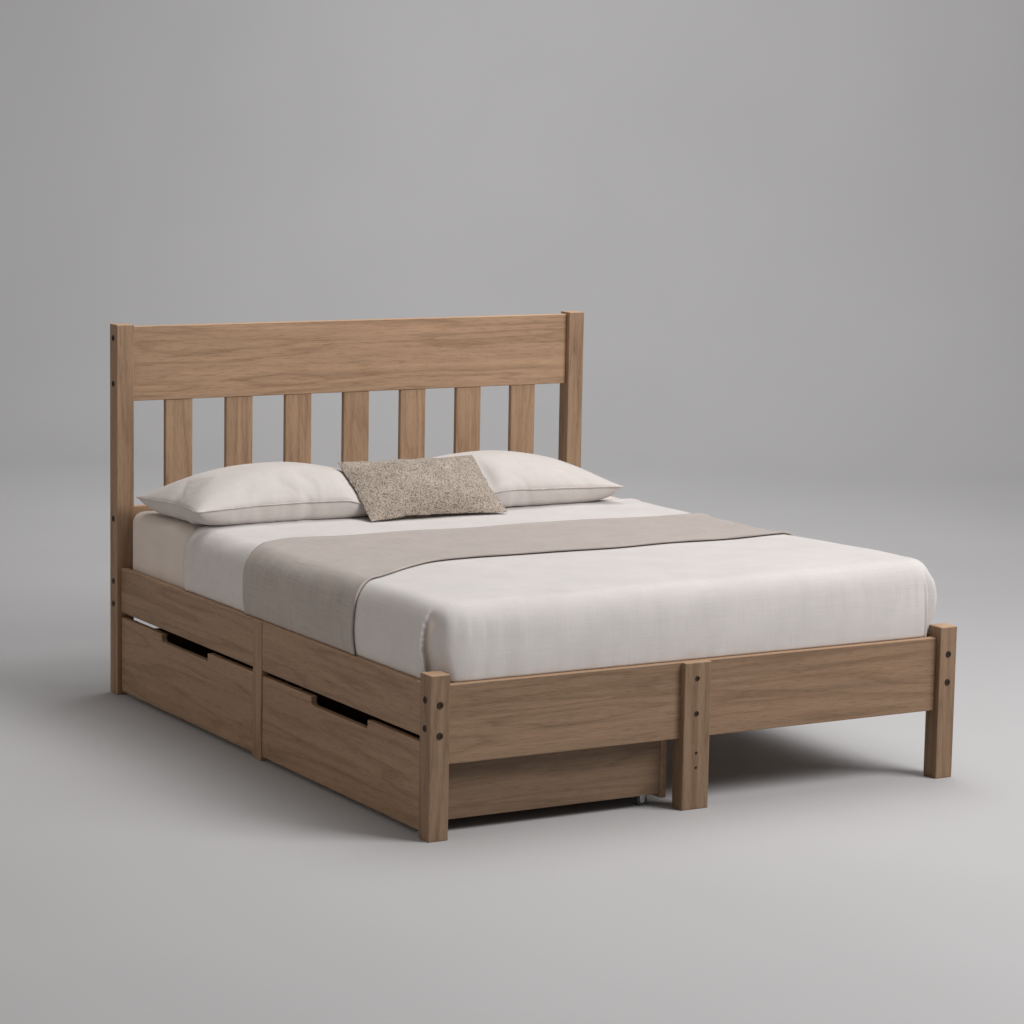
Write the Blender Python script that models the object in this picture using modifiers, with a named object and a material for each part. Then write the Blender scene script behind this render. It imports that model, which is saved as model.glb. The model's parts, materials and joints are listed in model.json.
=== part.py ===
"""A slatted-headboard platform bed with two roll-out storage drawers, dressed with its bedding.

Metres, +Z up. The origin is on the floor under the middle of the frame. The head is at +Y, the foot
at -Y, and both drawers roll out towards -X. Every piece is its own object, and each drawer and each
castor wheel hangs from an origin on its own joint.
"""

import math

import bmesh
import bpy
from mathutils import Matrix, Vector

CLEAR = 0.0003  # gap between two pieces that touch

# How finely round shapes are cut
EDGE_SEGMENTS = 2
CORNER_SEGMENTS = 6
PULL_SEGMENTS = 4
SOFT_EDGE_SEGMENTS = 3
WHEEL_SIDES = 32
CHEEK_SIDES = 24
BORE_SIDES = 20
AXLE_SIDES = 16
SOFT_CUTS = 3
SOFT_LEVELS = 1
SHARP_EDGE = math.radians(50)

# Mattress, which sets the size of the frame
MATTRESS_WIDTH = 1.600
MATTRESS_LENGTH = 2.000
MATTRESS_HEIGHT = 0.233
CORNER_SPACE = 0.0012
SIDE_SPACE = 0.005
END_SPACE = 0.005

# Frame sections
POST = 0.057
BOARD = 0.022
SIDE_RECESS = 0.013
FOOT_RECESS = 0.018
HEAD_RECESS = 0.012
EDGE_ROUND = 0.0025

# Frame heights
RAIL_TOP = 0.402
SIDE_RAIL_HEIGHT = 0.140
FOOT_RAIL_HEIGHT = 0.208
FOOT_POST_HEIGHT = 0.433
LEG_WIDTH = 0.084
LEG_DEPTH = 0.050
LEG_X = -0.028
MID_POST_PROUD = 0.002

# Headboard
HEAD_POST_HEIGHT = 1.158
TOP_RAIL_HEIGHT = 0.232
TOP_RAIL_DROP = 0.007
TOP_RAIL_RECESS = 0.018
LOWER_RAIL_TOP = 0.592
LOWER_RAIL_HEIGHT = 0.090
CROSS_RAIL_HEIGHT = 0.155
SLAT_COUNT = 7
SLAT_WIDTH = 0.092
SLAT_THICKNESS = 0.018
SLAT_SETBACK = 0.004

# Mattress support
LEDGER_WIDTH = 0.022
LEDGER_HEIGHT = 0.030
BED_SLAT_COUNT = 14
BED_SLAT_WIDTH = 0.070
BED_SLAT_THICKNESS = 0.018
MATTRESS_RECESS = 0.057
WEBBING_WIDTH = 0.025
WEBBING_PROUD = 0.001
BEAM_WIDTH = 0.045
BEAM_HEIGHT = 0.070
BEAM_LEG = 0.045

# Drawers
DRAWER_DEPTH = 0.749
DRAWER_FRONT = 0.020
DRAWER_SIDE = 0.015
DRAWER_BACK = 0.020
DRAWER_END_SPACE = 0.004
DRAWER_TOP_SPACE = 0.0155
DRAWER_FLOOR_SPACE = 0.013
DRAWER_BOX_TOP = 0.205
DRAWER_BACK_BOTTOM = 0.024
DRAWER_BOX_INSET = 0.005
BASE_THICKNESS = 0.006
BASE_EDGE_ROUND = 0.0005
PANEL_EDGE_ROUND = 0.0015
BASE_RAISE = 0.008
GROOVE_DEPTH = 0.005
PULL_WIDTH = 0.255
PULL_FLOOR_WIDTH = 0.175
PULL_DEPTH = 0.024
PULL_CORNER = 0.008

# Castors
WHEEL_RADIUS = 0.016
WHEEL_WIDTH = 0.014
WHEEL_ROUND = 0.0015
AXLE_RADIUS = 0.003
CHEEK_THICKNESS = 0.002
CHEEK_RADIUS = 0.008
CHEEK_SPACE = 0.0008
PLATE_SIZE = 0.038
PLATE_THICKNESS = 0.0025
WHEEL_ROOM = 0.0092
CASTOR_FROM_FRONT = 0.060
CASTOR_FROM_BACK = 0.034
CASTOR_FROM_SIDE = 0.026

# Bedding
MATTRESS_EDGE_ROUND = 0.018
COVERLET_THICKNESS = 0.0112
COVERLET_EDGE_ROUND = 0.009
COVERLET_HEAD_Y = 0.530
RUNNER_THICKNESS = 0.005
RUNNER_WIDTH = 0.690
RUNNER_Y = -0.200
RUNNER_SKEW = 0.095
PILLOW_LENGTH = 0.755
PILLOW_DEPTH = 0.500
PILLOW_HEIGHT = 0.138
PILLOW_RIM = 0.32
PILLOW_RISE = 2.6
PILLOW_WAIST = 0.03
PILLOW_APART = 0.004
PILLOW_PAIR_X = -0.050
PILLOW_FROM_HEAD = 0.060
CUSHION_LENGTH = 0.490
CUSHION_HEIGHT = 0.295
CUSHION_THICKNESS = 0.085
CUSHION_RIM = 0.40
CUSHION_RISE = 2.4
CUSHION_X = -0.030
CUSHION_LEAN = math.radians(32)

# Places worked out from the sizes above
HALF_WIDTH = MATTRESS_WIDTH / 2 + SIDE_SPACE + BOARD + SIDE_RECESS
FRAME_LENGTH = MATTRESS_LENGTH + 2 * END_SPACE + BOARD + FOOT_RECESS + POST - HEAD_RECESS
FOOT_Y = -FRAME_LENGTH / 2
HEAD_Y = FRAME_LENGTH / 2
POST_INNER_X = HALF_WIDTH - POST
FOOT_POST_BACK = FOOT_Y + POST
HEAD_POST_FRONT = HEAD_Y - POST
RAIL_OUTER_X = HALF_WIDTH - SIDE_RECESS
RAIL_INNER_X = RAIL_OUTER_X - BOARD
FOOT_RAIL_BACK = FOOT_Y + FOOT_RECESS + BOARD
CROSS_RAIL_FRONT = HEAD_POST_FRONT + HEAD_RECESS
SLAT_TOP = RAIL_TOP - MATTRESS_RECESS
LEDGER_TOP = SLAT_TOP - BED_SLAT_THICKNESS
BASE_BOTTOM = 2 * WHEEL_RADIUS + WHEEL_ROOM + PLATE_THICKNESS + CLEAR
DRAWER_BOX_BOTTOM = BASE_BOTTOM - BASE_RAISE
MATTRESS_BOTTOM = SLAT_TOP + WEBBING_PROUD + CLEAR
MATTRESS_TOP = MATTRESS_BOTTOM + MATTRESS_HEIGHT
MATTRESS_Y = (FOOT_RAIL_BACK + CROSS_RAIL_FRONT) / 2
COVERLET_OUT = CLEAR + COVERLET_THICKNESS
COVERLET_TOP = MATTRESS_TOP + COVERLET_OUT
RUNNER_OUT = COVERLET_OUT + CLEAR + RUNNER_THICKNESS


def corner_past_post():
    """The radius of the coverlet's corner that leaves a space to the inner edge of a foot post.

    The post's edge stands in from the coverlet's square corner by one distance in X and one in Y. It
    lies one radius plus the space from the centre of the round corner, which gives a quadratic.
    """
    in_x = MATTRESS_WIDTH / 2 + COVERLET_OUT - POST_INNER_X
    in_y = FOOT_POST_BACK - (MATTRESS_Y - MATTRESS_LENGTH / 2 - COVERLET_OUT)
    half = in_x + in_y + CORNER_SPACE
    return half + math.sqrt(half**2 - in_x**2 - in_y**2 + CORNER_SPACE**2)


MATTRESS_CORNER = corner_past_post() - COVERLET_OUT

WOOD = ("oak", (0.42, 0.28, 0.17), 0.55, 0.0)
PLY = ("drawer_ply", (0.62, 0.50, 0.36), 0.6, 0.0)
SHEET = ("sheet_cotton", (0.80, 0.76, 0.70), 0.9, 0.0)
COVER = ("coverlet_cotton", (0.84, 0.81, 0.76), 0.9, 0.0)
THROW = ("runner_wool", (0.52, 0.46, 0.40), 0.95, 0.0)
BOUCLE = ("cushion_boucle", (0.47, 0.41, 0.34), 0.95, 0.0)
PLATED = ("castor_steel", (0.60, 0.60, 0.60), 0.35, 1.0)
TREAD = ("castor_tread", (0.08, 0.08, 0.08), 0.5, 0.0)


def clear_scene():
    """Remove every object, so that the script can be run again."""
    for obj in list(bpy.data.objects):
        bpy.data.objects.remove(obj, do_unlink=True)


def new_collection(name):
    """Make a collection in the scene."""
    collection = bpy.data.collections.new(name)
    bpy.context.scene.collection.children.link(collection)
    return collection


def material_for(look):
    """The Principled material with this name, colour, roughness and metallic value."""
    name, colour, roughness, metallic = look
    material = bpy.data.materials.get(name)
    if material is None:
        material = bpy.data.materials.new(name)
        material.use_nodes = True
        shader = material.node_tree.nodes["Principled BSDF"]
        shader.inputs["Base Color"].default_value = (*colour, 1.0)
        shader.inputs["Roughness"].default_value = roughness
        shader.inputs["Metallic"].default_value = metallic
    return material


def bevel_edges(bm, edges, width, segments):
    """Round some edges of a bmesh to a circular profile."""
    bmesh.ops.bevel(bm, geom=edges, offset=width, segments=segments, profile=0.5, affect="EDGES")


def box_mesh(size, upright_round=0.0):
    """A box centred on its origin, with its four upright edges rounded to a radius."""
    bm = bmesh.new()
    bmesh.ops.create_cube(bm, size=1.0)
    bmesh.ops.scale(bm, vec=size, verts=bm.verts)
    if upright_round:
        edges = [e for e in bm.edges if abs(e.verts[0].co.z - e.verts[1].co.z) > size[2] / 2]
        bevel_edges(bm, edges, upright_round, CORNER_SEGMENTS)
    return mesh_from(bm)


def cylinder_mesh(radius, length, sides, edge_round=0.0):
    """A cylinder along Y, centred on its origin, with its two rims rounded."""
    bm = bmesh.new()
    bmesh.ops.create_cone(
        bm, cap_ends=True, segments=sides, radius1=radius, radius2=radius, depth=length
    )
    if edge_round:
        rims = [e for e in bm.edges if abs(e.verts[0].co.z - e.verts[1].co.z) < length / 2]
        bevel_edges(bm, rims, edge_round, EDGE_SEGMENTS)
    bmesh.ops.rotate(bm, matrix=Matrix.Rotation(math.radians(90), 3, "X"), verts=bm.verts)
    return mesh_from(bm)


def mesh_from(bm):
    """Write a bmesh into a new mesh."""
    mesh = bpy.data.meshes.new("shape")
    bmesh.ops.recalc_face_normals(bm, faces=bm.faces)
    bm.to_mesh(mesh)
    bm.free()
    return mesh


def piece(name, mesh, look, place, parent=None):
    """A part of the bed: its mesh about its own origin, which stands at a place in the room."""
    obj = bpy.data.objects.new(name, mesh)
    PARTS.objects.link(obj)
    if not mesh.materials:
        mesh.materials.append(material_for(look))
    obj.location = Vector(place)
    if parent:
        obj.parent = parent
        obj.location -= parent.location
    return obj


def helper(name, mesh, place):
    """A shape that cuts or joins, which is no part of the bed."""
    obj = bpy.data.objects.new(name, mesh)
    TOOLS.objects.link(obj)
    obj.location = Vector(place)
    obj.hide_render = True
    obj.display_type = "WIRE"
    return obj


def round_edges(obj, width=EDGE_ROUND, segments=EDGE_SEGMENTS):
    """Ease every sharp edge of a piece."""
    bevel = obj.modifiers.new("eased_edges", "BEVEL")
    bevel.width = width
    bevel.segments = segments
    bevel.limit_method = "ANGLE"
    bevel.angle_limit = SHARP_EDGE
    return obj


def boolean(obj, other, operation):
    """Cut another shape from a piece, or join it on."""
    modifier = obj.modifiers.new(operation.lower(), "BOOLEAN")
    modifier.operation = operation
    modifier.solver = "EXACT"
    modifier.object = other
    return obj


def corners(low, high):
    """The size and the middle of the box between two corners."""
    low, high = Vector(low), Vector(high)
    return high - low, (low + high) / 2


def board(name, low, high, look=WOOD, parent=None, ease=EDGE_ROUND):
    """A straight board between two corners in the room, with eased edges."""
    size, middle = corners(low, high)
    return round_edges(piece(name, box_mesh(size), look, middle, parent), ease)


def cutter(name, low, high):
    """A box-shaped cutter between two corners in the room."""
    size, middle = corners(low, high)
    return helper(name, box_mesh(size), middle)


def finished_mesh(obj):
    """The mesh of an object with its modifiers applied, and the object and its helpers removed."""
    bpy.context.view_layer.update()
    graph = bpy.context.evaluated_depsgraph_get()
    mesh = bpy.data.meshes.new_from_object(obj.evaluated_get(graph), depsgraph=graph)
    mesh.transform(obj.matrix_world)
    tools = [m.object for m in obj.modifiers if m.type == "BOOLEAN"]
    for tool in [*tools, obj]:
        bpy.data.objects.remove(tool, do_unlink=True)
    return mesh


def build_headboard():
    """Two posts, a deep top rail, a lower rail, a hidden cross rail and evenly spaced slats."""
    for side, sign in (("left", -1), ("right", 1)):
        middle = (sign * (HALF_WIDTH - POST / 2), HEAD_Y - POST / 2, HEAD_POST_HEIGHT / 2)
        post = piece(f"head_post_{side}", box_mesh((POST, POST, HEAD_POST_HEIGHT)), WOOD, middle)
        round_edges(post)
    reach = POST_INNER_X - CLEAR
    top_front = HEAD_POST_FRONT + TOP_RAIL_RECESS
    top_of_rail = HEAD_POST_HEIGHT - TOP_RAIL_DROP
    foot_of_rail = top_of_rail - TOP_RAIL_HEIGHT
    board("headboard_top_rail", (-reach, top_front, foot_of_rail), (reach, top_front + BOARD, top_of_rail))
    lower = LOWER_RAIL_TOP - LOWER_RAIL_HEIGHT
    for name, low, high in (
        ("headboard_lower_rail", lower, LOWER_RAIL_TOP),
        ("head_cross_rail", RAIL_TOP - CROSS_RAIL_HEIGHT, RAIL_TOP),
    ):
        board(name, (-reach, CROSS_RAIL_FRONT, low), (reach, CROSS_RAIL_FRONT + BOARD, high))
    gap = (2 * POST_INNER_X - SLAT_COUNT * SLAT_WIDTH) / (SLAT_COUNT + 1)
    slat_front = top_front + SLAT_SETBACK
    for i in range(SLAT_COUNT):
        left = -POST_INNER_X + gap + i * (SLAT_WIDTH + gap)
        board(
            f"headboard_slat_{i + 1}",
            (left, slat_front, LOWER_RAIL_TOP + CLEAR),
            (left + SLAT_WIDTH, slat_front + SLAT_THICKNESS, foot_of_rail - CLEAR),
        )


def build_foot():
    """Two posts, the rail between them, and a centre leg that is lapped over the rail's face."""
    for side, sign in (("left", -1), ("right", 1)):
        middle = (sign * (HALF_WIDTH - POST / 2), FOOT_Y + POST / 2, FOOT_POST_HEIGHT / 2)
        post = piece(f"foot_post_{side}", box_mesh((POST, POST, FOOT_POST_HEIGHT)), WOOD, middle)
        round_edges(post)
    reach = POST_INNER_X - CLEAR
    rail_front = FOOT_Y + FOOT_RECESS
    rail_bottom = RAIL_TOP - FOOT_RAIL_HEIGHT
    board("foot_rail", (-reach, rail_front, rail_bottom), (reach, FOOT_RAIL_BACK, RAIL_TOP))
    leg = board(
        "foot_centre_leg",
        (LEG_X - LEG_WIDTH / 2, FOOT_Y, 0),
        (LEG_X + LEG_WIDTH / 2, FOOT_Y + LEG_DEPTH, RAIL_TOP),
    )
    lap = cutter(
        "leg_lap",
        (LEG_X - LEG_WIDTH, rail_front - CLEAR, rail_bottom - CLEAR),
        (LEG_X + LEG_WIDTH, FOOT_Y + 2 * LEG_DEPTH, RAIL_TOP + POST),
    )
    boolean(leg, lap, "DIFFERENCE")


def build_sides():
    """On each long side, a rail in two lengths with a post between them, and a ledger inside."""
    rail_bottom = RAIL_TOP - SIDE_RAIL_HEIGHT
    spans = (("foot", FOOT_POST_BACK, -POST / 2), ("head", POST / 2, HEAD_POST_FRONT))
    for side, sign in (("left", -1), ("right", 1)):
        for end, start, stop in spans:
            edges = sorted((sign * RAIL_OUTER_X, sign * RAIL_INNER_X))
            board(
                f"side_rail_{side}_{end}",
                (edges[0], start + CLEAR, rail_bottom),
                (edges[1], stop - CLEAR, RAIL_TOP),
            )
        edges = sorted((sign * (RAIL_OUTER_X + MID_POST_PROUD), sign * RAIL_INNER_X))
        board(f"side_mid_post_{side}", (edges[0], -POST / 2, 0), (edges[1], POST / 2, RAIL_TOP))
        inner = RAIL_INNER_X - CLEAR
        edges = sorted((sign * inner, sign * (inner - LEDGER_WIDTH)))
        board(
            f"slat_ledger_{side}",
            (edges[0], FOOT_POST_BACK + CLEAR, LEDGER_TOP - LEDGER_HEIGHT),
            (edges[1], HEAD_POST_FRONT - CLEAR, LEDGER_TOP - CLEAR),
        )


def build_support():
    """The centre beam and its leg, and the roll of bed slats held at their spacing by webbing."""
    beam_top = LEDGER_TOP - CLEAR
    beam_bottom = beam_top - BEAM_HEIGHT
    half = BEAM_WIDTH / 2
    board(
        "centre_beam",
        (LEG_X - half, FOOT_RAIL_BACK + CLEAR, beam_bottom),
        (LEG_X + half, CROSS_RAIL_FRONT - CLEAR, beam_top),
    )
    half = BEAM_LEG / 2
    board("centre_beam_leg", (LEG_X - half, -half, 0), (LEG_X + half, half, beam_bottom - CLEAR))

    reach = RAIL_INNER_X - 2 * CLEAR
    start = FOOT_POST_BACK + END_SPACE
    pitch = (HEAD_POST_FRONT - FOOT_POST_BACK - 2 * END_SPACE - BED_SLAT_WIDTH) / (BED_SLAT_COUNT - 1)
    size = (2 * reach, BED_SLAT_WIDTH, BED_SLAT_THICKNESS)
    height = SLAT_TOP - BED_SLAT_THICKNESS / 2
    places = [(0, start + BED_SLAT_WIDTH / 2 + i * pitch, height) for i in range(BED_SLAT_COUNT)]
    roll = piece("slat_roll", box_mesh(size), WOOD, places[0])
    for i, place in enumerate(places[1:]):
        boolean(roll, helper(f"bed_slat_{i + 2}", box_mesh(size), place), "UNION")
    length = places[-1][1] - places[0][1] + BED_SLAT_WIDTH / 2
    for side, x in (("left", -reach / 2), ("middle", LEG_X), ("right", reach / 2)):
        tape = box_mesh((WEBBING_WIDTH, length, 2 * WEBBING_PROUD))
        middle = (x, (places[0][1] + places[-1][1]) / 2, SLAT_TOP)
        boolean(roll, helper(f"webbing_{side}", tape, middle), "UNION")


def pull_cutter(name, x, y, top):
    """A tapered slot with round floor corners, which leaves a finger pull in a drawer front."""
    bm = bmesh.new()
    bmesh.ops.create_cube(bm, size=1.0)
    height = 2 * PULL_DEPTH
    bmesh.ops.scale(bm, vec=(3 * DRAWER_FRONT, PULL_WIDTH, height), verts=bm.verts)
    spread = (PULL_WIDTH - PULL_FLOOR_WIDTH) / 2
    for vert in bm.verts:
        vert.co.y += math.copysign(2 * spread * vert.co.z / height, vert.co.y)
    floor = [e for e in bm.edges if all(v.co.z < 0 for v in e.verts)]
    across = [e for e in floor if abs(e.verts[0].co.x - e.verts[1].co.x) > DRAWER_FRONT]
    bevel_edges(bm, across, PULL_CORNER, PULL_SEGMENTS)
    return helper(name, mesh_from(bm), (x, y, top))


def castor_bracket_mesh():
    """A mounting plate with two round-ended cheeks and the axle between them, about the axle."""
    cheek_y = WHEEL_WIDTH / 2 + CHEEK_SPACE + CHEEK_THICKNESS / 2
    plate_z = WHEEL_RADIUS + WHEEL_ROOM + PLATE_THICKNESS / 2
    plate = helper("plate", box_mesh((PLATE_SIZE, PLATE_SIZE, PLATE_THICKNESS)), (0, 0, plate_z))
    span = 2 * cheek_y + CHEEK_THICKNESS
    boolean(plate, helper("axle", cylinder_mesh(AXLE_RADIUS, span, AXLE_SIDES), (0, 0, 0)), "UNION")
    for sign in (-1, 1):
        strut = box_mesh((2 * CHEEK_RADIUS, CHEEK_THICKNESS, plate_z))
        boolean(plate, helper("strut", strut, (0, sign * cheek_y, plate_z / 2)), "UNION")
        disc = cylinder_mesh(CHEEK_RADIUS, CHEEK_THICKNESS, CHEEK_SIDES)
        boolean(plate, helper("disc", disc, (0, sign * cheek_y, 0)), "UNION")
    return finished_mesh(plate)


def castor_wheel_mesh():
    """A wheel with rounded rims and a running bore for the axle, about the axle."""
    tread = cylinder_mesh(WHEEL_RADIUS, WHEEL_WIDTH, WHEEL_SIDES, WHEEL_ROUND)
    wheel = helper("wheel", tread, (0, 0, 0))
    bore = cylinder_mesh(AXLE_RADIUS + CLEAR, 2 * WHEEL_WIDTH, BORE_SIDES)
    boolean(wheel, helper("bore", bore, (0, 0, 0)), "DIFFERENCE")
    return finished_mesh(wheel)


def build_drawer(end, low_y, high_y, bracket, wheel):
    """One drawer: a front with a finger pull, sides, back, a base let into grooves, four castors."""
    front_x = -RAIL_OUTER_X
    box_x = front_x + DRAWER_FRONT + CLEAR
    back_x = front_x + DRAWER_DEPTH
    slide = bpy.data.objects.new(f"drawer_{end}_slide", None)
    PARTS.objects.link(slide)
    slide.location = (front_x, (low_y + high_y) / 2, 0)
    top = RAIL_TOP - SIDE_RAIL_HEIGHT - DRAWER_TOP_SPACE

    front_size, middle = corners(
        (front_x, low_y, DRAWER_FLOOR_SPACE), (front_x + DRAWER_FRONT, high_y, top)
    )
    front = piece(f"drawer_{end}_front", box_mesh(front_size), WOOD, middle, slide)
    boolean(front, pull_cutter(f"pull_{end}", front_x, slide.location.y, top), "DIFFERENCE")
    round_edges(front)

    low_box, high_box = low_y + DRAWER_BOX_INSET, high_y - DRAWER_BOX_INSET
    side_stop = back_x - DRAWER_BACK - CLEAR
    panels = [front]
    for name, start in (("foot_side", low_box), ("head_side", high_box - DRAWER_SIDE)):
        low = (box_x, start, DRAWER_BOX_BOTTOM)
        high = (side_stop, start + DRAWER_SIDE, DRAWER_BOX_TOP)
        panels.append(board(f"drawer_{end}_{name}", low, high, WOOD, slide, PANEL_EDGE_ROUND))
    low = (back_x - DRAWER_BACK, low_box, DRAWER_BACK_BOTTOM)
    high = (back_x, high_box, DRAWER_BOX_TOP)
    panels.append(board(f"drawer_{end}_back", low, high, WOOD, slide, PANEL_EDGE_ROUND))

    bite = GROOVE_DEPTH - CLEAR
    low = (box_x - bite, low_box + DRAWER_SIDE - bite, BASE_BOTTOM)
    high = (side_stop + CLEAR + bite, high_box - DRAWER_SIDE + bite, BASE_BOTTOM + BASE_THICKNESS)
    board(f"drawer_{end}_base", low, high, PLY, slide, BASE_EDGE_ROUND)
    room = Vector((CLEAR, CLEAR, CLEAR))
    groove = cutter(f"groove_{end}", Vector(low) - room, Vector(high) + room)
    for panel in panels:
        boolean(panel, groove, "DIFFERENCE")

    axle_z = WHEEL_RADIUS
    near = box_x + CASTOR_FROM_FRONT
    far = side_stop - CASTOR_FROM_BACK
    inset = DRAWER_SIDE + CASTOR_FROM_SIDE
    spots = [(x, y) for x in (near, far) for y in (low_box + inset, high_box - inset)]
    for i, (x, y) in enumerate(spots):
        piece(f"castor_bracket_{end}_{i + 1}", bracket, PLATED, (x, y, axle_z), slide)
        piece(f"castor_wheel_{end}_{i + 1}", wheel, TREAD, (x, y, axle_z), slide)


def build_drawers():
    """Two like drawers, one on each side of the left mid post."""
    bracket = castor_bracket_mesh()
    wheel = castor_wheel_mesh()
    inner = POST / 2 + DRAWER_END_SPACE
    build_drawer("head", inner, HEAD_POST_FRONT - DRAWER_END_SPACE, bracket, wheel)
    build_drawer("foot", FOOT_POST_BACK + DRAWER_END_SPACE, -inner, bracket, wheel)


def mattress_block(grow, low_z, high_z):
    """The mattress outline grown by an amount on every side, from one height to another."""
    size = (MATTRESS_WIDTH + 2 * grow, MATTRESS_LENGTH + 2 * grow, high_z - low_z)
    return box_mesh(size, MATTRESS_CORNER + grow), (0, MATTRESS_Y, (low_z + high_z) / 2)


def build_mattress_and_covers():
    """The mattress, the coverlet drawn over its foot end, and the runner laid across."""
    mesh, middle = mattress_block(0, MATTRESS_BOTTOM, MATTRESS_TOP)
    mattress = piece("mattress", mesh, SHEET, middle)
    round_edges(mattress, MATTRESS_EDGE_ROUND, SOFT_EDGE_SEGMENTS)

    hem = RAIL_TOP + CLEAR
    mesh, middle = mattress_block(COVERLET_OUT, hem, COVERLET_TOP)
    coverlet = round_edges(piece("coverlet", mesh, COVER, middle), COVERLET_EDGE_ROUND)
    mesh, middle = mattress_block(CLEAR, MATTRESS_BOTTOM, MATTRESS_TOP + CLEAR)
    boolean(coverlet, helper("coverlet_hollow", mesh, middle), "DIFFERENCE")
    head_end = cutter(
        "coverlet_head_edge",
        (-2 * MATTRESS_WIDTH, COVERLET_HEAD_Y, 0),
        (2 * MATTRESS_WIDTH, MATTRESS_LENGTH, 2 * MATTRESS_TOP),
    )
    boolean(coverlet, head_end, "DIFFERENCE")

    mesh, middle = mattress_block(RUNNER_OUT, hem, MATTRESS_TOP + RUNNER_OUT)
    runner = piece("runner", mesh, THROW, middle)
    mesh, middle = mattress_block(COVERLET_OUT + CLEAR, MATTRESS_BOTTOM, COVERLET_TOP + CLEAR)
    boolean(runner, helper("runner_hollow", mesh, middle), "DIFFERENCE")
    strip = box_mesh((2 * MATTRESS_WIDTH, RUNNER_WIDTH, 2 * MATTRESS_TOP))
    strip.transform(skew_matrix())
    boolean(runner, helper("runner_strip", strip, (0, RUNNER_Y, MATTRESS_TOP)), "INTERSECT")


def skew_matrix():
    """A shear that carries a point along Y in proportion to its X."""
    matrix = Matrix.Identity(4)
    matrix[1][0] = RUNNER_SKEW
    return matrix


def crowned_mesh(size, rim, rise):
    """A soft block that stands on a flat face and is crowned above, with its sides pulled in.

    It is centred in X and Y, and its flat face is at Z = 0. The rim is the share of the full height
    that is left at its edges, and the rise is the power of the crown's curve.
    """
    bm = bmesh.new()
    bmesh.ops.create_cube(bm, size=1.0)
    bmesh.ops.subdivide_edges(bm, edges=bm.edges[:], cuts=SOFT_CUTS, use_grid_fill=True)
    length, depth, height = size
    for vert in bm.verts:
        along, across = abs(2 * vert.co.x), abs(2 * vert.co.y)
        lift = (vert.co.z + 0.5) * (1 - (1 - rim) * max(along, across) ** rise)
        waist_x = 1 - PILLOW_WAIST * (1 - across**2)
        waist_y = 1 - PILLOW_WAIST * (1 - along**2)
        vert.co = (vert.co.x * length * waist_x, vert.co.y * depth * waist_y, lift * height)
    return mesh_from(bm)


def soften(obj):
    """Round a coarse soft block."""
    rounding = obj.modifiers.new("rounding", "SUBSURF")
    rounding.levels = SOFT_LEVELS
    rounding.render_levels = SOFT_LEVELS
    return obj


def build_pillows():
    """Two pillows side by side against the headboard, and a cushion that leans on their front."""
    rest_z = COVERLET_TOP + CLEAR
    middle_y = HEAD_POST_FRONT - PILLOW_FROM_HEAD - PILLOW_DEPTH / 2
    size = (PILLOW_LENGTH, PILLOW_DEPTH, PILLOW_HEIGHT)
    for side, sign in (("left", -1), ("right", 1)):
        x = PILLOW_PAIR_X + sign * (PILLOW_LENGTH + PILLOW_APART) / 2
        mesh = crowned_mesh(size, PILLOW_RIM, PILLOW_RISE)
        soften(piece(f"pillow_{side}", mesh, SHEET, (x, middle_y, rest_z)))

    # The cushion's back is tangent to the pillows' crown, so it starts where that slope is its own.
    fall = PILLOW_HEIGHT * (1 - PILLOW_RIM)
    slope = math.tan(CUSHION_LEAN)
    share = min(1.0, (slope * PILLOW_DEPTH / 2 / (fall * PILLOW_RISE)) ** (1 / (PILLOW_RISE - 1)))
    touch_y = middle_y - share * PILLOW_DEPTH / 2
    touch_rise = PILLOW_HEIGHT - fall * share**PILLOW_RISE
    foot_y = touch_y - (touch_rise + 2 * CLEAR / math.cos(CUSHION_LEAN)) / slope
    foot = Vector((CUSHION_X, foot_y, rest_z + CLEAR))
    along = Vector((0, math.cos(CUSHION_LEAN), math.sin(CUSHION_LEAN)))
    size = (CUSHION_LENGTH, CUSHION_HEIGHT, CUSHION_THICKNESS)
    mesh = crowned_mesh(size, CUSHION_RIM, CUSHION_RISE)
    cushion = piece("lumbar_cushion", mesh, BOUCLE, foot + along * CUSHION_HEIGHT / 2)
    cushion.rotation_euler.x = CUSHION_LEAN
    soften(cushion)


clear_scene()
PARTS = new_collection("platform_bed")
TOOLS = new_collection("cutters")
build_headboard()
build_foot()
build_sides()
build_support()
build_drawers()
build_mattress_and_covers()
build_pillows()
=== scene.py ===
"""The finished look of a platform bed with roll-out drawers, built around its fixed frame.

The frame's wooden and metal pieces keep their shapes and get their finishes here. The bedding is made
here as real soft goods: a fitted sheet, a coverlet and a runner drawn over the mattress as cloth
surfaces, and two pillows and a cushion that are sewn flat and then blown up by a cloth simulation.
Every surface is worked out with numpy as a whole array of points.
"""

import json
import logging
import math
from dataclasses import dataclass, field
from enum import Enum

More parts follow.
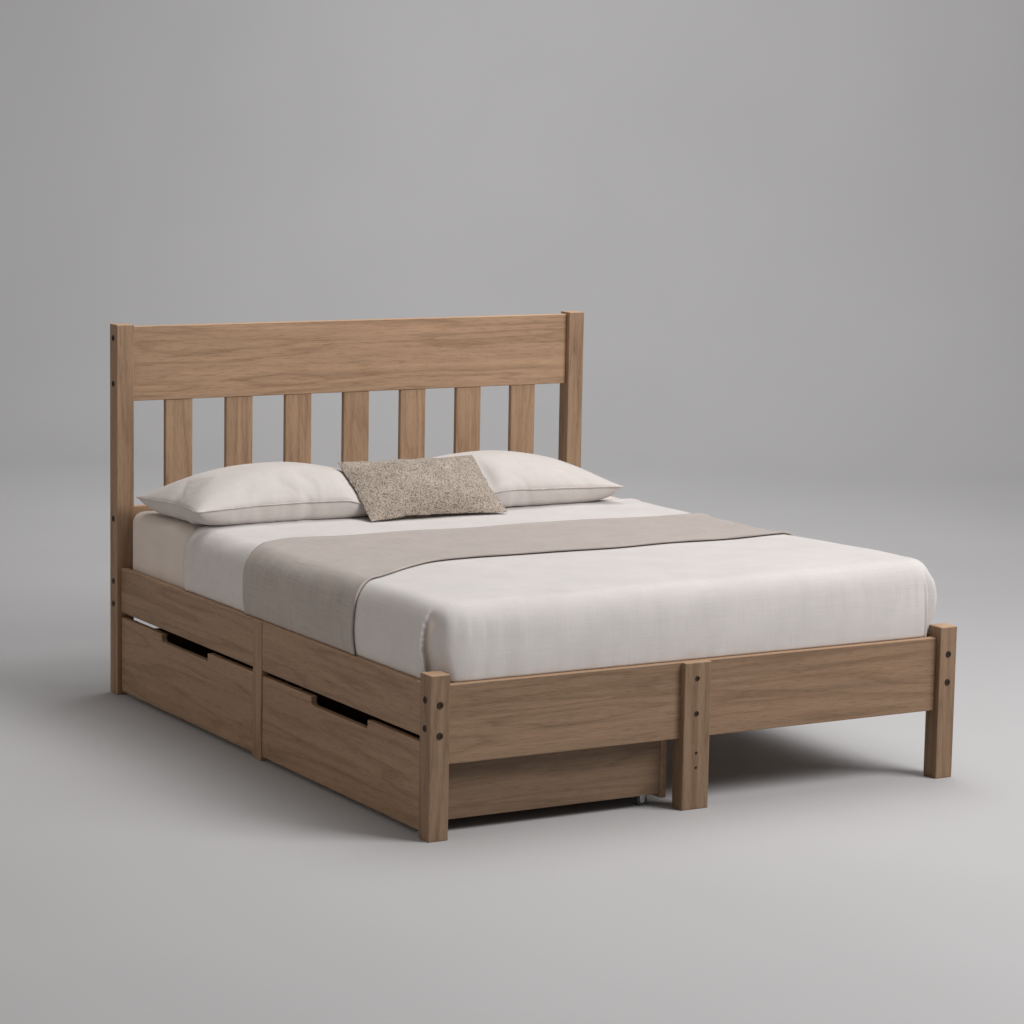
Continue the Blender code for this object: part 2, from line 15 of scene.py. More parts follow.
import bmesh
import bpy
import numpy as np
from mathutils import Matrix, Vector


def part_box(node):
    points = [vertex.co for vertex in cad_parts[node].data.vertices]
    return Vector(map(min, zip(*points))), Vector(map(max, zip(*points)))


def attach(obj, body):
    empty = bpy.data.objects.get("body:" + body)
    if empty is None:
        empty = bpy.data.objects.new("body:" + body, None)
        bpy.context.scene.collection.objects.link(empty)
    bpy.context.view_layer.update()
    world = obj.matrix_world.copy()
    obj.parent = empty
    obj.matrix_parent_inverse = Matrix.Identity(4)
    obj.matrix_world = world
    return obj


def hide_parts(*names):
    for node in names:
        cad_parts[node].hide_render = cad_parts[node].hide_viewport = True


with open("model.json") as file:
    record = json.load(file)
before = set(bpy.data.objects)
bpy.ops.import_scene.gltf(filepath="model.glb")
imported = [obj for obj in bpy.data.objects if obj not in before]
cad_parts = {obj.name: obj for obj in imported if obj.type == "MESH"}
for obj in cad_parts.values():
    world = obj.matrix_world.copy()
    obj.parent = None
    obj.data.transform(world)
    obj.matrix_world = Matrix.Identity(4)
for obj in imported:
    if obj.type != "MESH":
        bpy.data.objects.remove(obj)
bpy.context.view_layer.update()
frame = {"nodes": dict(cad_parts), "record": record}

ROOT = "frame"
LOG = logging.getLogger("platform_bed")

Vec3 = tuple[float, float, float]
WHITE: Vec3 = (1.0, 1.0, 1.0)
UP = np.array((0.0, 0.0, 1.0))
QUARTER = math.pi / 2
MERGE_DISTANCE = 1e-5
SOFT_RANGE = 40.0
FIRST_BOARD_SEED = 1000
LOG_REACH = 40
WAVES_PER_UNIT = 3.183


class Axis(Enum):
    """The direction that a board's grain runs in."""

    X = 0
    Y = 1
    Z = 2


# --------------------------------------------------------------------------------------------------
# Mesh and noise helpers
# --------------------------------------------------------------------------------------------------


def ripples(across: np.ndarray, along: np.ndarray, seed: int, lengths: Vec3, count: int) -> np.ndarray:
    """Soft random creases: a sum of sine waves of random direction and phase, scaled to about 1.

    Args:
        across: first coordinate of each point, in metres.
        along: second coordinate of each point, in metres.
        seed: seed of the random draws.
        lengths: the shortest and the longest wave in metres, and how far the waves turn from the
            first coordinate, in radians.
        count: how many waves are added up.

    Returns:
        An array like across, with values mostly between -1 and 1.
    """
    rng = np.random.default_rng(seed)
    shortest, longest, spread = lengths
    total = np.zeros_like(across)
    for _ in range(count):
        length = shortest * (longest / shortest) ** rng.random()
        turn = spread * (2 * rng.random() - 1)
        phase = 2 * math.pi * rng.random()
        wave = (across * math.cos(turn) + along * math.sin(turn)) / length
        total += np.sin(2 * math.pi * wave + phase)
    return total / math.sqrt(count)


def smooth_step(low: float, high: float, value: np.ndarray) -> np.ndarray:
    """A smooth rise from 0 at low to 1 at high: 3t^2 - 2t^3 on the share t of the way."""
    share = np.clip((value - low) / (high - low), 0.0, 1.0)
    return share * share * (3 - 2 * share)


def ridge(middle: float, width: float, value: np.ndarray) -> np.ndarray:
    """A smooth bump that is 1 at the middle: exp(-((value - middle) / width)^2)."""
    return np.exp(-(((value - middle) / width) ** 2))


def soft_excess(over: np.ndarray, softness: float) -> np.ndarray:
    """How far a value is over its limit, rounded off near the limit: s ln(1 + e^(over / s))."""
    return softness * np.logaddexp(0.0, np.clip(over / softness, -SOFT_RANGE, SOFT_RANGE))


def fullness(u: np.ndarray, v: np.ndarray) -> np.ndarray:
    """How full an evenly filled bag is at shares of the way out: (1 - u^2.2) (1 - v^2.6)^0.8."""
    return np.clip(1 - u**2.2, 0, 1) * np.clip(1 - v**2.6, 0, 1) ** 0.8


def spaced(low: float, high: float, border: float, fine: float, coarse: float) -> np.ndarray:
    """Places along a line, close together within a border at each end and wider apart between.

    Args:
        low: the first place.
        high: the last place.
        border: how wide the borders are.
        fine: the step in the borders.
        coarse: the step between them.

    Returns:
        The places, in order.
    """
    inner = np.linspace(low + border, high - border, int((high - low - 2 * border) / coarse) + 1)
    rim = np.arange(1, int(border / fine)) * fine
    return np.concatenate([low + np.append(0.0, rim), inner, high - np.append(0.0, rim)[::-1]])


def grid_faces(rows: int, columns: int, close_rows: bool = False, close_columns: bool = False) -> np.ndarray:
    """Quads between the points of a grid.

    Args:
        rows: number of rows of points.
        columns: number of columns of points.
        close_rows: whether the last row joins the first.
        close_columns: whether the last column joins the first.

    Returns:
        An integer array with four corners in each row.
    """
    row = np.arange(rows if close_rows else rows - 1)
    column = np.arange(columns if close_columns else columns - 1)
    i, j = np.meshgrid(row, column, indexing="ij")
    k, m = (i + 1) % rows, (j + 1) % columns
    quads = np.stack([i * columns + j, k * columns + j, k * columns + m, i * columns + m], axis=-1)
    return quads.reshape(-1, 4)


def make_mesh(name: str, points: np.ndarray, faces: list, uv: np.ndarray | None = None) -> bpy.types.Object:
    """An object at the origin with smooth faces over the given points.

    Args:
        name: the piece's name.
        points: one row of X, Y and Z for each point.
        faces: lists of point numbers.
        uv: one row of U and V for each point, in metres, or None.

    Returns:
        The new object, linked to the scene.
    """
    mesh = bpy.data.meshes.new(name)
    mesh.from_pydata(points.reshape(-1, 3).tolist(), [], [list(map(int, f)) for f in faces])
    if uv is not None:
        loops = np.empty(len(mesh.loops), np.int32)
        mesh.loops.foreach_get("vertex_index", loops)
        layer = mesh.uv_layers.new(name="UVMap")
        layer.data.foreach_set("uv", uv.reshape(-1, 2)[loops].astype(np.float32).ravel())
    mesh.shade_smooth()
    obj = bpy.data.objects.new(name, mesh)
    bpy.context.scene.collection.objects.link(obj)
    return obj


def points_of(obj: bpy.types.Object) -> np.ndarray:
    """The object's mesh points as an array with one row for each."""
    flat = np.empty(len(obj.data.vertices) * 3, np.float32)
    obj.data.vertices.foreach_get("co", flat)
    return flat.reshape(-1, 3).astype(float)


def move_points(obj: bpy.types.Object, points: np.ndarray) -> None:
    """Put the object's mesh points at new places."""
    obj.data.vertices.foreach_set("co", points.astype(np.float32).ravel())
    obj.data.update()


def apply_modifiers(obj: bpy.types.Object) -> None:
    """Replace the object's mesh by the one that its modifiers make, and take them off."""
    bpy.context.view_layer.update()
    graph = bpy.context.evaluated_depsgraph_get()
    mesh = bpy.data.meshes.new_from_object(obj.evaluated_get(graph), depsgraph=graph)
    obj.modifiers.clear()
    obj.data = mesh


def face_outwards(obj: bpy.types.Object) -> None:
    """Join the points that coincide, and turn every face of a closed mesh outwards."""
    bm = bmesh.new()
    bm.from_mesh(obj.data)
    bmesh.ops.remove_doubles(bm, verts=bm.verts, dist=MERGE_DISTANCE)
    bmesh.ops.recalc_face_normals(bm, faces=bm.faces)
    bm.to_mesh(obj.data)
    bm.free()
    obj.data.shade_smooth()


def tube(name: str, path: np.ndarray, radius: float, sides: int = 8) -> bpy.types.Object:
    """A closed round cord along a loop of points.

    Each ring is the point plus radius * (cos a * N + sin a * B), where N and B stand square to the
    loop's direction there.

    Args:
        name: the piece's name.
        path: the loop's points, in order, with the last one next to the first.
        radius: the cord's radius.
        sides: how many sides the cord has.

    Returns:
        The new object.
    """
    tangent = np.roll(path, -1, axis=0) - np.roll(path, 1, axis=0)
    tangent /= np.linalg.norm(tangent, axis=1, keepdims=True)
    side = np.cross(tangent, UP)
    side /= np.linalg.norm(side, axis=1, keepdims=True)
    rise = np.cross(side, tangent)
    angle = np.arange(sides) * 2 * math.pi / sides
    ring = side[:, None] * np.cos(angle)[None, :, None] + rise[:, None] * np.sin(angle)[None, :, None]
    points = path[:, None] + radius * ring
    obj = make_mesh(name, points, grid_faces(len(path), sides, True, True))
    face_outwards(obj)
    return obj


# --------------------------------------------------------------------------------------------------
# Finishes
# --------------------------------------------------------------------------------------------------


class NodeBook:
    """Adds shader nodes to one material and joins them up."""

    def __init__(self, name: str) -> None:
        """Start a material with this name."""
        self.material = bpy.data.materials.new(name)
        self.material.use_nodes = True
        self.tree = self.material.node_tree
        self.shader = self.tree.nodes["Principled BSDF"]

    def add(self, kind: str, **values: object) -> bpy.types.Node:
        """Add a node.

        Args:
            kind: the node's type without its ShaderNode prefix.
            **values: the node's settings by name. One that names an input socket sets its value, or
                links it where the value is another node's output.

        Returns:
            The new node.
        """
        node = self.tree.nodes.new("ShaderNode" + kind)
        for name, value in values.items():
            if hasattr(node, name) and not isinstance(value, bpy.types.NodeSocket):
                setattr(node, name, value)
                continue
            self.set(node.inputs[name.replace("_", " ")], value)
        return node

    def surface(self, **values: object) -> None:
        """Set or link the shader's own inputs by name."""
        for name, value in values.items():
            self.set(self.shader.inputs[name.replace("_", " ")], value)

    def noise(
        self,
        place: bpy.types.NodeSocket,
        scale: float,
        detail: float,
        roughness: float = 0.5,
        distortion: float = 0.0,
    ) -> bpy.types.NodeSocket:
        """The value of a fractal noise at a place."""
        node = self.add(
            "TexNoise", Vector=place, Scale=scale, Detail=detail, Roughness=roughness, Distortion=distortion
        )
        return node.outputs["Fac"]

    def stretched(
        self, place: bpy.types.NodeSocket, scale: tuple, shift: Vec3 = (0.0, 0.0, 0.0)
    ) -> bpy.types.NodeSocket:
        """A place scaled along each axis and shifted."""
        return self.add("Mapping", Vector=place, Scale=scale, Location=shift).outputs[0]

    def set(self, socket: bpy.types.NodeSocket, value: object) -> None:
        """Link a socket to an output, or give it a value."""
        if isinstance(value, bpy.types.NodeSocket):
            self.tree.links.new(value, socket)
        else:
            socket.default_value = value

    def math(self, operation: str, first: object, second: object = 0.0) -> bpy.types.NodeSocket:
        """The result of a Math node on one or two numbers or outputs."""
        node = self.tree.nodes.new("ShaderNodeMath")
        node.operation = operation
        self.set(node.inputs[0], first)
        self.set(node.inputs[1], second)
        return node.outputs[0]

    def ramp(self, source: bpy.types.NodeSocket, stops: list[tuple[float, Vec3]]) -> bpy.types.NodeSocket:
        """A colour ramp over a value, with a colour at each stop."""
        node = self.add("ValToRGB", Fac=source)
        ramp = node.color_ramp
        while len(ramp.elements) < len(stops):
            ramp.elements.new(0.5)
        for element, (place, colour) in zip(ramp.elements, stops):
            element.position = place
            element.color = (*colour, 1.0)
        return node.outputs["Color"]

    def mix(self, blend: str, share: object, first: object, second: object) -> bpy.types.NodeSocket:
        """The colour that two colours make when one is blended over the other by a share."""
        node = self.tree.nodes.new("ShaderNodeMix")
        node.data_type = "RGBA"
        node.blend_type = blend
        self.set(node.inputs[0], share)
        self.set(node.inputs[6], first)
        self.set(node.inputs[7], second)
        return node.outputs[2]

    def bump(self, height: bpy.types.NodeSocket, strength: float, distance: float) -> None:
        """Send a height to the shader's normal, through a Bump node."""
        node = self.add("Bump", Strength=strength, Distance=distance, Height=height)
        self.tree.links.new(node.outputs["Normal"], self.shader.inputs["Normal"])


def shade(colour: Vec3, factor: float) -> Vec3:
    """A colour made darker or lighter by a factor."""
    return tuple(min(1.0, channel * factor) for channel in colour)


@dataclass(frozen=True)
class OakFinish:
    """Oiled oak: contour lines of a stretched noise as growth rings, with streaks and open pores, and a
    painted highlight on faces that point up.
    """

    tone: Vec3 = (0.350, 0.226, 0.141)
    ring_depth: float = 0.23
    stretch: float = 13.0
    rings: float = 7.0
    painted_top_highlight: float = 0.55
    roughness: float = 0.52

    def material(self, name: str, grain: Axis, number: int, lift: float = 1.0) -> bpy.types.Material:
        """Make the finish for one board.

        Args:
            name: the material's name.
            grain: the direction that the grain runs in.
            number: the board's number, which picks its own stretch of the log.
            lift: how much lighter than the usual tone the board is: painted light and shade for its part,
                times a small change of tone from board to board.

        Returns:
            The material.
        """
        rng = np.random.default_rng(FIRST_BOARD_SEED + number)
        book = NodeBook(name)
        place = tuple(float(v) for v in rng.uniform(-LOG_REACH, LOG_REACH, 3))
        coords = book.add("TexCoord").outputs["Object"]

        def grained(across: float, along: float) -> bpy.types.NodeSocket:
            """The board's place in its log, scaled across the grain and along it."""
            scale = [across] * 3
            scale[grain.value] = along
            return book.stretched(coords, tuple(scale), place)

        log = grained(self.stretch, 1.0)
        growth = book.noise(log, 0.85, 2.0, 0.45, 0.35)
        ring = book.math("FRACT", book.math("MULTIPLY", growth, self.rings))
        fine = book.math("MULTIPLY", book.noise(log, 9.0, 3.0, 0.6), 0.35)
        rings = book.ramp(
            book.math("ADD", ring, fine),
            [
                (0.00, shade(WHITE, 0.95)),
                (0.55, WHITE),
                (0.93, shade((1.0, 0.97, 0.93), 1.0 - self.ring_depth)),
                (1.00, shade(WHITE, 0.93)),
            ],
        )

        streak = book.noise(grained(self.stretch * 4.5, 1.6), 1.0, 5.0, 0.62)
        shades = ((0.25, 0.80), (0.50, 1.00), (0.78, 1.17))
        tone = book.ramp(streak, [(stop, shade(self.tone, factor * lift)) for stop, factor in shades])
        colour = book.mix("MULTIPLY", 1.0, tone, rings)

        patches = book.ramp(book.noise(log, 0.22, 1.0), [(0.3, (0.90, 0.88, 0.86)), (0.7, WHITE)])
        colour = book.mix("MULTIPLY", 0.8, colour, patches)

        pore = book.noise(grained(420.0, 22.0), 1.0, 2.0, 0.6)
        pores = book.ramp(pore, [(0.36, (0.62, 0.56, 0.50)), (0.47, WHITE)])
        colour = book.mix("MULTIPLY", 0.55, colour, pores)
        # Painted highlight: faces that point up are blended towards a much lighter tone, standing in for the
        # light from above.
        facing = book.add("SeparateXYZ", Vector=book.add("NewGeometry").outputs["Normal"])
        top_highlight_share = book.math("MULTIPLY", book.math("MAXIMUM", facing.outputs["Z"], 0.0), self.painted_top_highlight)
        colour = book.mix("MIX", top_highlight_share, colour, (*shade(self.tone, 1.9), 1.0))

        gloss = book.math("ADD", book.math("MULTIPLY", streak, 0.16), self.roughness - 0.08)
        book.surface(Base_Color=colour, Roughness=gloss, Specular_IOR_Level=0.35)
        book.bump(book.math("ADD", pore, book.math("MULTIPLY", streak, 0.8)), 0.35, 0.0006)
        return book.material


@dataclass(frozen=True)
class WovenFinish:
    """Woven cloth: threads both ways as crossed waves in flat metres, with slubs and mottling."""

    name: str
    colour: Vec3
    thread: float = 0.0016
    roughness: float = 0.85
    sheen: float = 0.15
    mottle: float = 0.06
    slub: float = 0.06
    relief: float = 0.00025

    def material(self) -> bpy.types.Material:
        """Make the material, which reads the cloth's own UV map in metres."""
        book = NodeBook(self.name)
        flat = book.add("UVMap", uv_map="UVMap").outputs["UV"]
        threads = [
            book.add(
                "TexWave",
                bands_direction=direction,
                wave_profile="SIN",
                Vector=flat,
                Scale=1.0 / (self.thread * WAVES_PER_UNIT),
                Distortion=0.6,
                Detail_Scale=2.0,
            ).outputs["Fac"]
            for direction in ("X", "Y")
        ]
        weave = book.math("MAXIMUM", *threads)

        slubs = [
            book.noise(book.stretched(flat, scale), 1.0, 3.0, 0.6)
            for scale in ((320.0, 9.0, 1.0), (9.0, 320.0, 1.0))
        ]
        slub = book.math("MULTIPLY", book.math("ADD", *slubs), 0.5)

        dark, light = shade(self.colour, 1 - 2.2 * self.slub), shade(self.colour, 1 + 1.6 * self.slub)
        colour = book.ramp(slub, [(0.32, dark), (0.5, self.colour), (0.68, light)])
        uneven = book.noise(flat, 7.0, 4.0, 0.6)
        faded = book.ramp(uneven, [(0.3, shade(WHITE, 1 - 2 * self.mottle)), (0.65, WHITE)])
        book.surface(
            Base_Color=book.mix("MULTIPLY", 1.0, colour, faded),
            Roughness=self.roughness,
            Specular_IOR_Level=0.2,
            Sheen_Weight=self.sheen,
            Sheen_Roughness=0.5,
        )
        book.bump(book.math("ADD", weave, book.math("MULTIPLY", slub, 1.5)), 0.5, self.relief)
        return book.material


@dataclass(frozen=True)
class BoucleFinish:
    """Looped boucle: pale yarn loops with painted shade in the hollows between them and a painted highlight
    on the loop tops, from cells a few mm across.
    """

    name: str = "cushion_boucle"
    yarn: Vec3 = (0.475, 0.400, 0.335)
    painted_hollow_shade: Vec3 = (0.175, 0.140, 0.110)
    loop: float = 0.0042

    def material(self) -> bpy.types.Material:
        """Make the material, which reads Object coordinates so that seams don't show in it."""
        book = NodeBook(self.name)
        coords = book.add("TexCoord").outputs["Object"]
        wobble = book.add("TexNoise", Vector=coords, Scale=90.0, Detail=2.0)
        bent = book.mix("LINEAR_LIGHT", 0.006, coords, wobble.outputs["Color"])
        cells = book.add(
            "TexVoronoi", feature="SMOOTH_F1", Vector=bent, Scale=1.0 / self.loop, Smoothness=0.4
        )
        fuzz = book.noise(coords, 420.0, 3.0, 0.7)
        depth = book.math("ADD", cells.outputs["Distance"], book.math("MULTIPLY", fuzz, 0.25))
        # Painted light: the loop tops are painted lighter than the yarn, and the hollows between the loops
        # are painted dark as shade.
        colour = book.ramp(
            depth,
            [
                (0.22, shade(self.yarn, 1.15)),
                (0.50, self.yarn),
                (0.74, shade(self.yarn, 0.74)),
                (0.92, self.painted_hollow_shade),
            ],
        )
        blotch = book.noise(coords, 26.0, 3.0, 0.6)
        tint = book.ramp(blotch, [(0.35, (0.80, 0.79, 0.78)), (0.62, WHITE)])
        book.surface(
            Base_Color=book.mix("MULTIPLY", 1.0, colour, tint),
            Roughness=0.95,
            Specular_IOR_Level=0.15,
            Sheen_Weight=0.2,
        )
        book.bump(book.math("MULTIPLY", depth, -1.0), 0.9, 0.0025)
        return book.material


@dataclass(frozen=True)
class HardFinish:
    """Metal or plastic with fine scratches and an uneven gloss."""

    name: str
    colour: Vec3
    roughness: float
    metallic: float = 0.0
    speckle: float = 60.0

    def material(self) -> bpy.types.Material:
        """Make the material."""
        book = NodeBook(self.name)
        coords = book.add("TexCoord").outputs["Object"]
        worn = book.noise(coords, self.speckle, 4.0, 0.65)
        tint = book.ramp(worn, [(0.3, shade(self.colour, 0.8)), (0.7, shade(self.colour, 1.15))])
        gloss = book.math("ADD", book.math("MULTIPLY", worn, 0.25), self.roughness - 0.12)
        book.surface(Base_Color=tint, Roughness=gloss, Metallic=self.metallic)
        book.bump(worn, 0.15, 0.0002)
        return book.material


# --------------------------------------------------------------------------------------------------
# The frame and its drawers
# --------------------------------------------------------------------------------------------------


@dataclass
class Timber:
    """The wooden pieces: each board gets its own stretch of oak, with the grain along its length."""

    finish: OakFinish = field(default_factory=OakFinish)
    panel: OakFinish = OakFinish(tone=(0.170, 0.105, 0.066), rings=5.0, ring_depth=0.2)
    # Painted light and shade by part: the headboard is painted lighter, the foot rail, foot posts and foot
    # centre leg darker, and the drawer sides much darker as painted shade under the foot rail.
    tone_and_painted_light_by_part: dict[str, float] = field(
        default_factory=lambda: {
            "headboard": 1.13,
            "head_post": 0.98,
            "slat_": 1.05,
            "foot_rail": 0.89,
            "foot_post": 0.80,
            "foot_centre": 0.80,
            "_side": 0.60,
            "drawer": 1.02,
        }
    )

    def dress(self) -> None:
        """Give every wooden node its finish."""
        slots = {part["node"]: part["material_slot"] for part in frame["record"]["subparts"]}
        wooden = [name for name in sorted(frame["nodes"]) if slots[name] in ("oak", "drawer_ply")]
        for number, name in enumerate(wooden):
            low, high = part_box(name)
            grain = Axis(int(np.argmax(np.array(high) - np.array(low))))
            finish = self.panel if slots[name] == "drawer_ply" else self.finish
            # The part's painted light and shade factor, times a small change of tone from board to board.
            lift = next((v for key, v in self.tone_and_painted_light_by_part.items() if key in name), 1.0)
            lift *= 1.0 + 0.05 * math.sin(2.4 * number)
            paint(name, finish.material(f"oak_{name}", grain, number, lift))
        LOG.info("timber: %d pieces", len(wooden))


def paint(node: str, material: bpy.types.Material) -> None:
    """Give a node of the frame one material."""
    materials = frame["nodes"][node].data.materials
    materials.clear()
    materials.append(material)


@dataclass
class Castors:
    """Plated brackets and dark wheels under the drawers."""

    plated: HardFinish = HardFinish("castor_steel", (0.55, 0.55, 0.56), 0.38, 1.0)
    tread: HardFinish = HardFinish("castor_tread", (0.075, 0.078, 0.082), 0.42)

    def dress(self) -> None:
        """Give every castor's bracket and wheel its finish."""
        steel, plastic = self.plated.material(), self.tread.material()
        for name in frame["nodes"]:
            if name.startswith("castor_bracket"):
                paint(name, steel)
            if name.startswith("castor_wheel"):
                paint(name, plastic)
        LOG.info("castors: dressed")


@dataclass
class Bolts:
    """Barrel-headed bolts with hexagon sockets, sunk into the posts and the centre leg."""

    finish: HardFinish = HardFinish("bolt_bronze", (0.050, 0.036, 0.026), 0.42, 0.7, 220.0)
    post_radius: float = 0.0092
    leg_radius: float = 0.0070
    screw_radius: float = 0.0034
    socket_share: float = 0.46
    proud: float = 0.0022
    segments: int = 36
    foot_front_heights: tuple[float, ...] = (0.355, 0.275)
    foot_side_heights: tuple[float, ...] = (0.366, 0.292)
    head_side_heights: tuple[float, ...] = (1.115, 0.974, 0.553, 0.357, 0.286)
    leg_bolt_heights: tuple[float, ...] = (0.358, 0.262)
    leg_bolt_shift: float = -0.002
    leg_screw_heights: tuple[float, ...] = (0.155, 0.115)

    def head(self, radius: float) -> np.ndarray:
        """One bolt head about the origin, with its axis along +Z.

        Rings of points run in from the rim: a washer-like edge, a rounded crown, and a socket whose
        rings follow a hexagon, r = a / cos(angle to the nearest flat). Each ring is given by its
        reach in radii and its height as a share of how proud the head stands.
        """
        turn = np.arange(self.segments) * 2 * math.pi / self.segments
        hexagon = math.cos(math.pi / 6) / np.cos((turn % (math.pi / 3)) - math.pi / 6)
        circle = np.ones_like(turn)
        socket = self.socket_share
        rings = [
            (1.00 * circle, -0.3),
            (1.00 * circle, 0.45),
            (0.94 * circle, 0.85),
            (0.84 * circle, 1.0),
            (socket * 1.35 * circle, 1.0),
            (socket * 1.08 * hexagon, 0.9),
            (socket * hexagon, 0.6),
            (socket * 0.96 * hexagon, 0.08),
            (0.02 * circle, 0.08),
        ]
        points = [
            np.stack([r * radius * np.cos(turn), r * radius * np.sin(turn), circle * z * self.proud], -1)
            for r, z in rings
        ]
        return np.array(points)

    def places(self) -> list[tuple[Vec3, Vec3, float]]:
        """Where each bolt sits: a point on a face, the face's outward normal, and the head's radius."""
        found = []
        foot_low, foot_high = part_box("foot_post_left")
        head_low, head_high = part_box("head_post_left")
        leg_low, leg_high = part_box("foot_centre_leg")
        foot_mid = (foot_low.y + foot_high.y) / 2
        head_mid = (head_low.y + head_high.y) / 2
        leg_mid = (leg_low.x + leg_high.x) / 2
        for side in (-1, 1):
            post_x = side * (foot_high.x - foot_low.x) / 2 + side * abs(foot_high.x)
            for height in self.foot_front_heights:
                found.append(((post_x, foot_low.y, height), (0, -1, 0), self.post_radius))
            outer = side * abs(foot_low.x)
            for height in self.foot_side_heights:
                found.append(((outer, foot_mid, height), (side, 0, 0), self.post_radius))
            for height in self.head_side_heights:
                found.append(((outer, head_mid, height), (side, 0, 0), self.post_radius))
        for height in self.leg_bolt_heights:
            found.append(((leg_mid + self.leg_bolt_shift, leg_low.y, height), (0, -1, 0), self.leg_radius))
        for height in self.leg_screw_heights:
            found.append(((leg_mid, leg_low.y, height), (0, -1, 0), self.screw_radius))
        return found

    def build(self) -> None:
        """Make all the bolt heads as one piece."""
        points, faces = [], []
        for place, normal, radius in self.places():
            head = self.head(radius)
            rings, count = head.shape[:2]
            out = np.array(normal, float)
            across = np.cross(UP, out)
            up = np.cross(out, across)
            turned = head[..., :1] * across + head[..., 1:2] * up + head[..., 2:] * out
            start = sum(len(p) for p in points)
            points.append((turned + np.array(place)).reshape(-1, 3))
            faces += (grid_faces(rings, count, close_columns=True) + start).tolist()
            faces.append((start + (rings - 1) * count + np.arange(count)).tolist())
            faces.append((start + np.arange(count)[::-1]).tolist())
        bolts = make_mesh("frame_bolts", np.concatenate(points), faces)
        face_outwards(bolts)
        bolts.data.set_sharp_from_angle(angle=math.radians(35))
        bolts.data.materials.append(self.finish.material())
        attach(bolts, ROOT)
        LOG.info("bolts: %d heads", len(self.places()))


# --------------------------------------------------------------------------------------------------
# Bedding
# --------------------------------------------------------------------------------------------------


RAIL_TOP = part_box("side_rail_left_foot")[1].z


def foot_crown(x: np.ndarray, y: np.ndarray) -> np.ndarray:
    """How much higher the mattress is filled towards its foot, and most of all at the right.

    Args:
        x: X of each point.
        y: Y of each point.

    Returns:
        Metres above the level top.
    """
    return (0.012 + 0.014 * smooth_step(-0.5, 0.75, x)) * smooth_step(0.15, 0.85, -y)


@dataclass(frozen=True)
class Lie:
    """Where the points of a cloth have got to on the block under it, as arrays of the same shape.

    Attributes:
        across: flat coordinate across the bed.
        along: flat coordinate along the bed.
        base_x: X of the nearest point inside the corner zone.
        base_y: Y of the nearest point inside the corner zone.
        turn: angle round the corner, from 0 at the side to a quarter turn at the end.
        toward: the signs of X and Y on the way outwards.
        out: distance outwards from the base point.
        drop: distance below the top.
        angle: the surface's angle from level.
        round_run: distance round the block from the middle of the foot.
    """

    across: np.ndarray
    along: np.ndarray
    base_x: np.ndarray
    base_y: np.ndarray
    turn: np.ndarray
    toward: np.ndarray
    out: np.ndarray
    drop: np.ndarray
    angle: np.ndarray
    round_run: np.ndarray


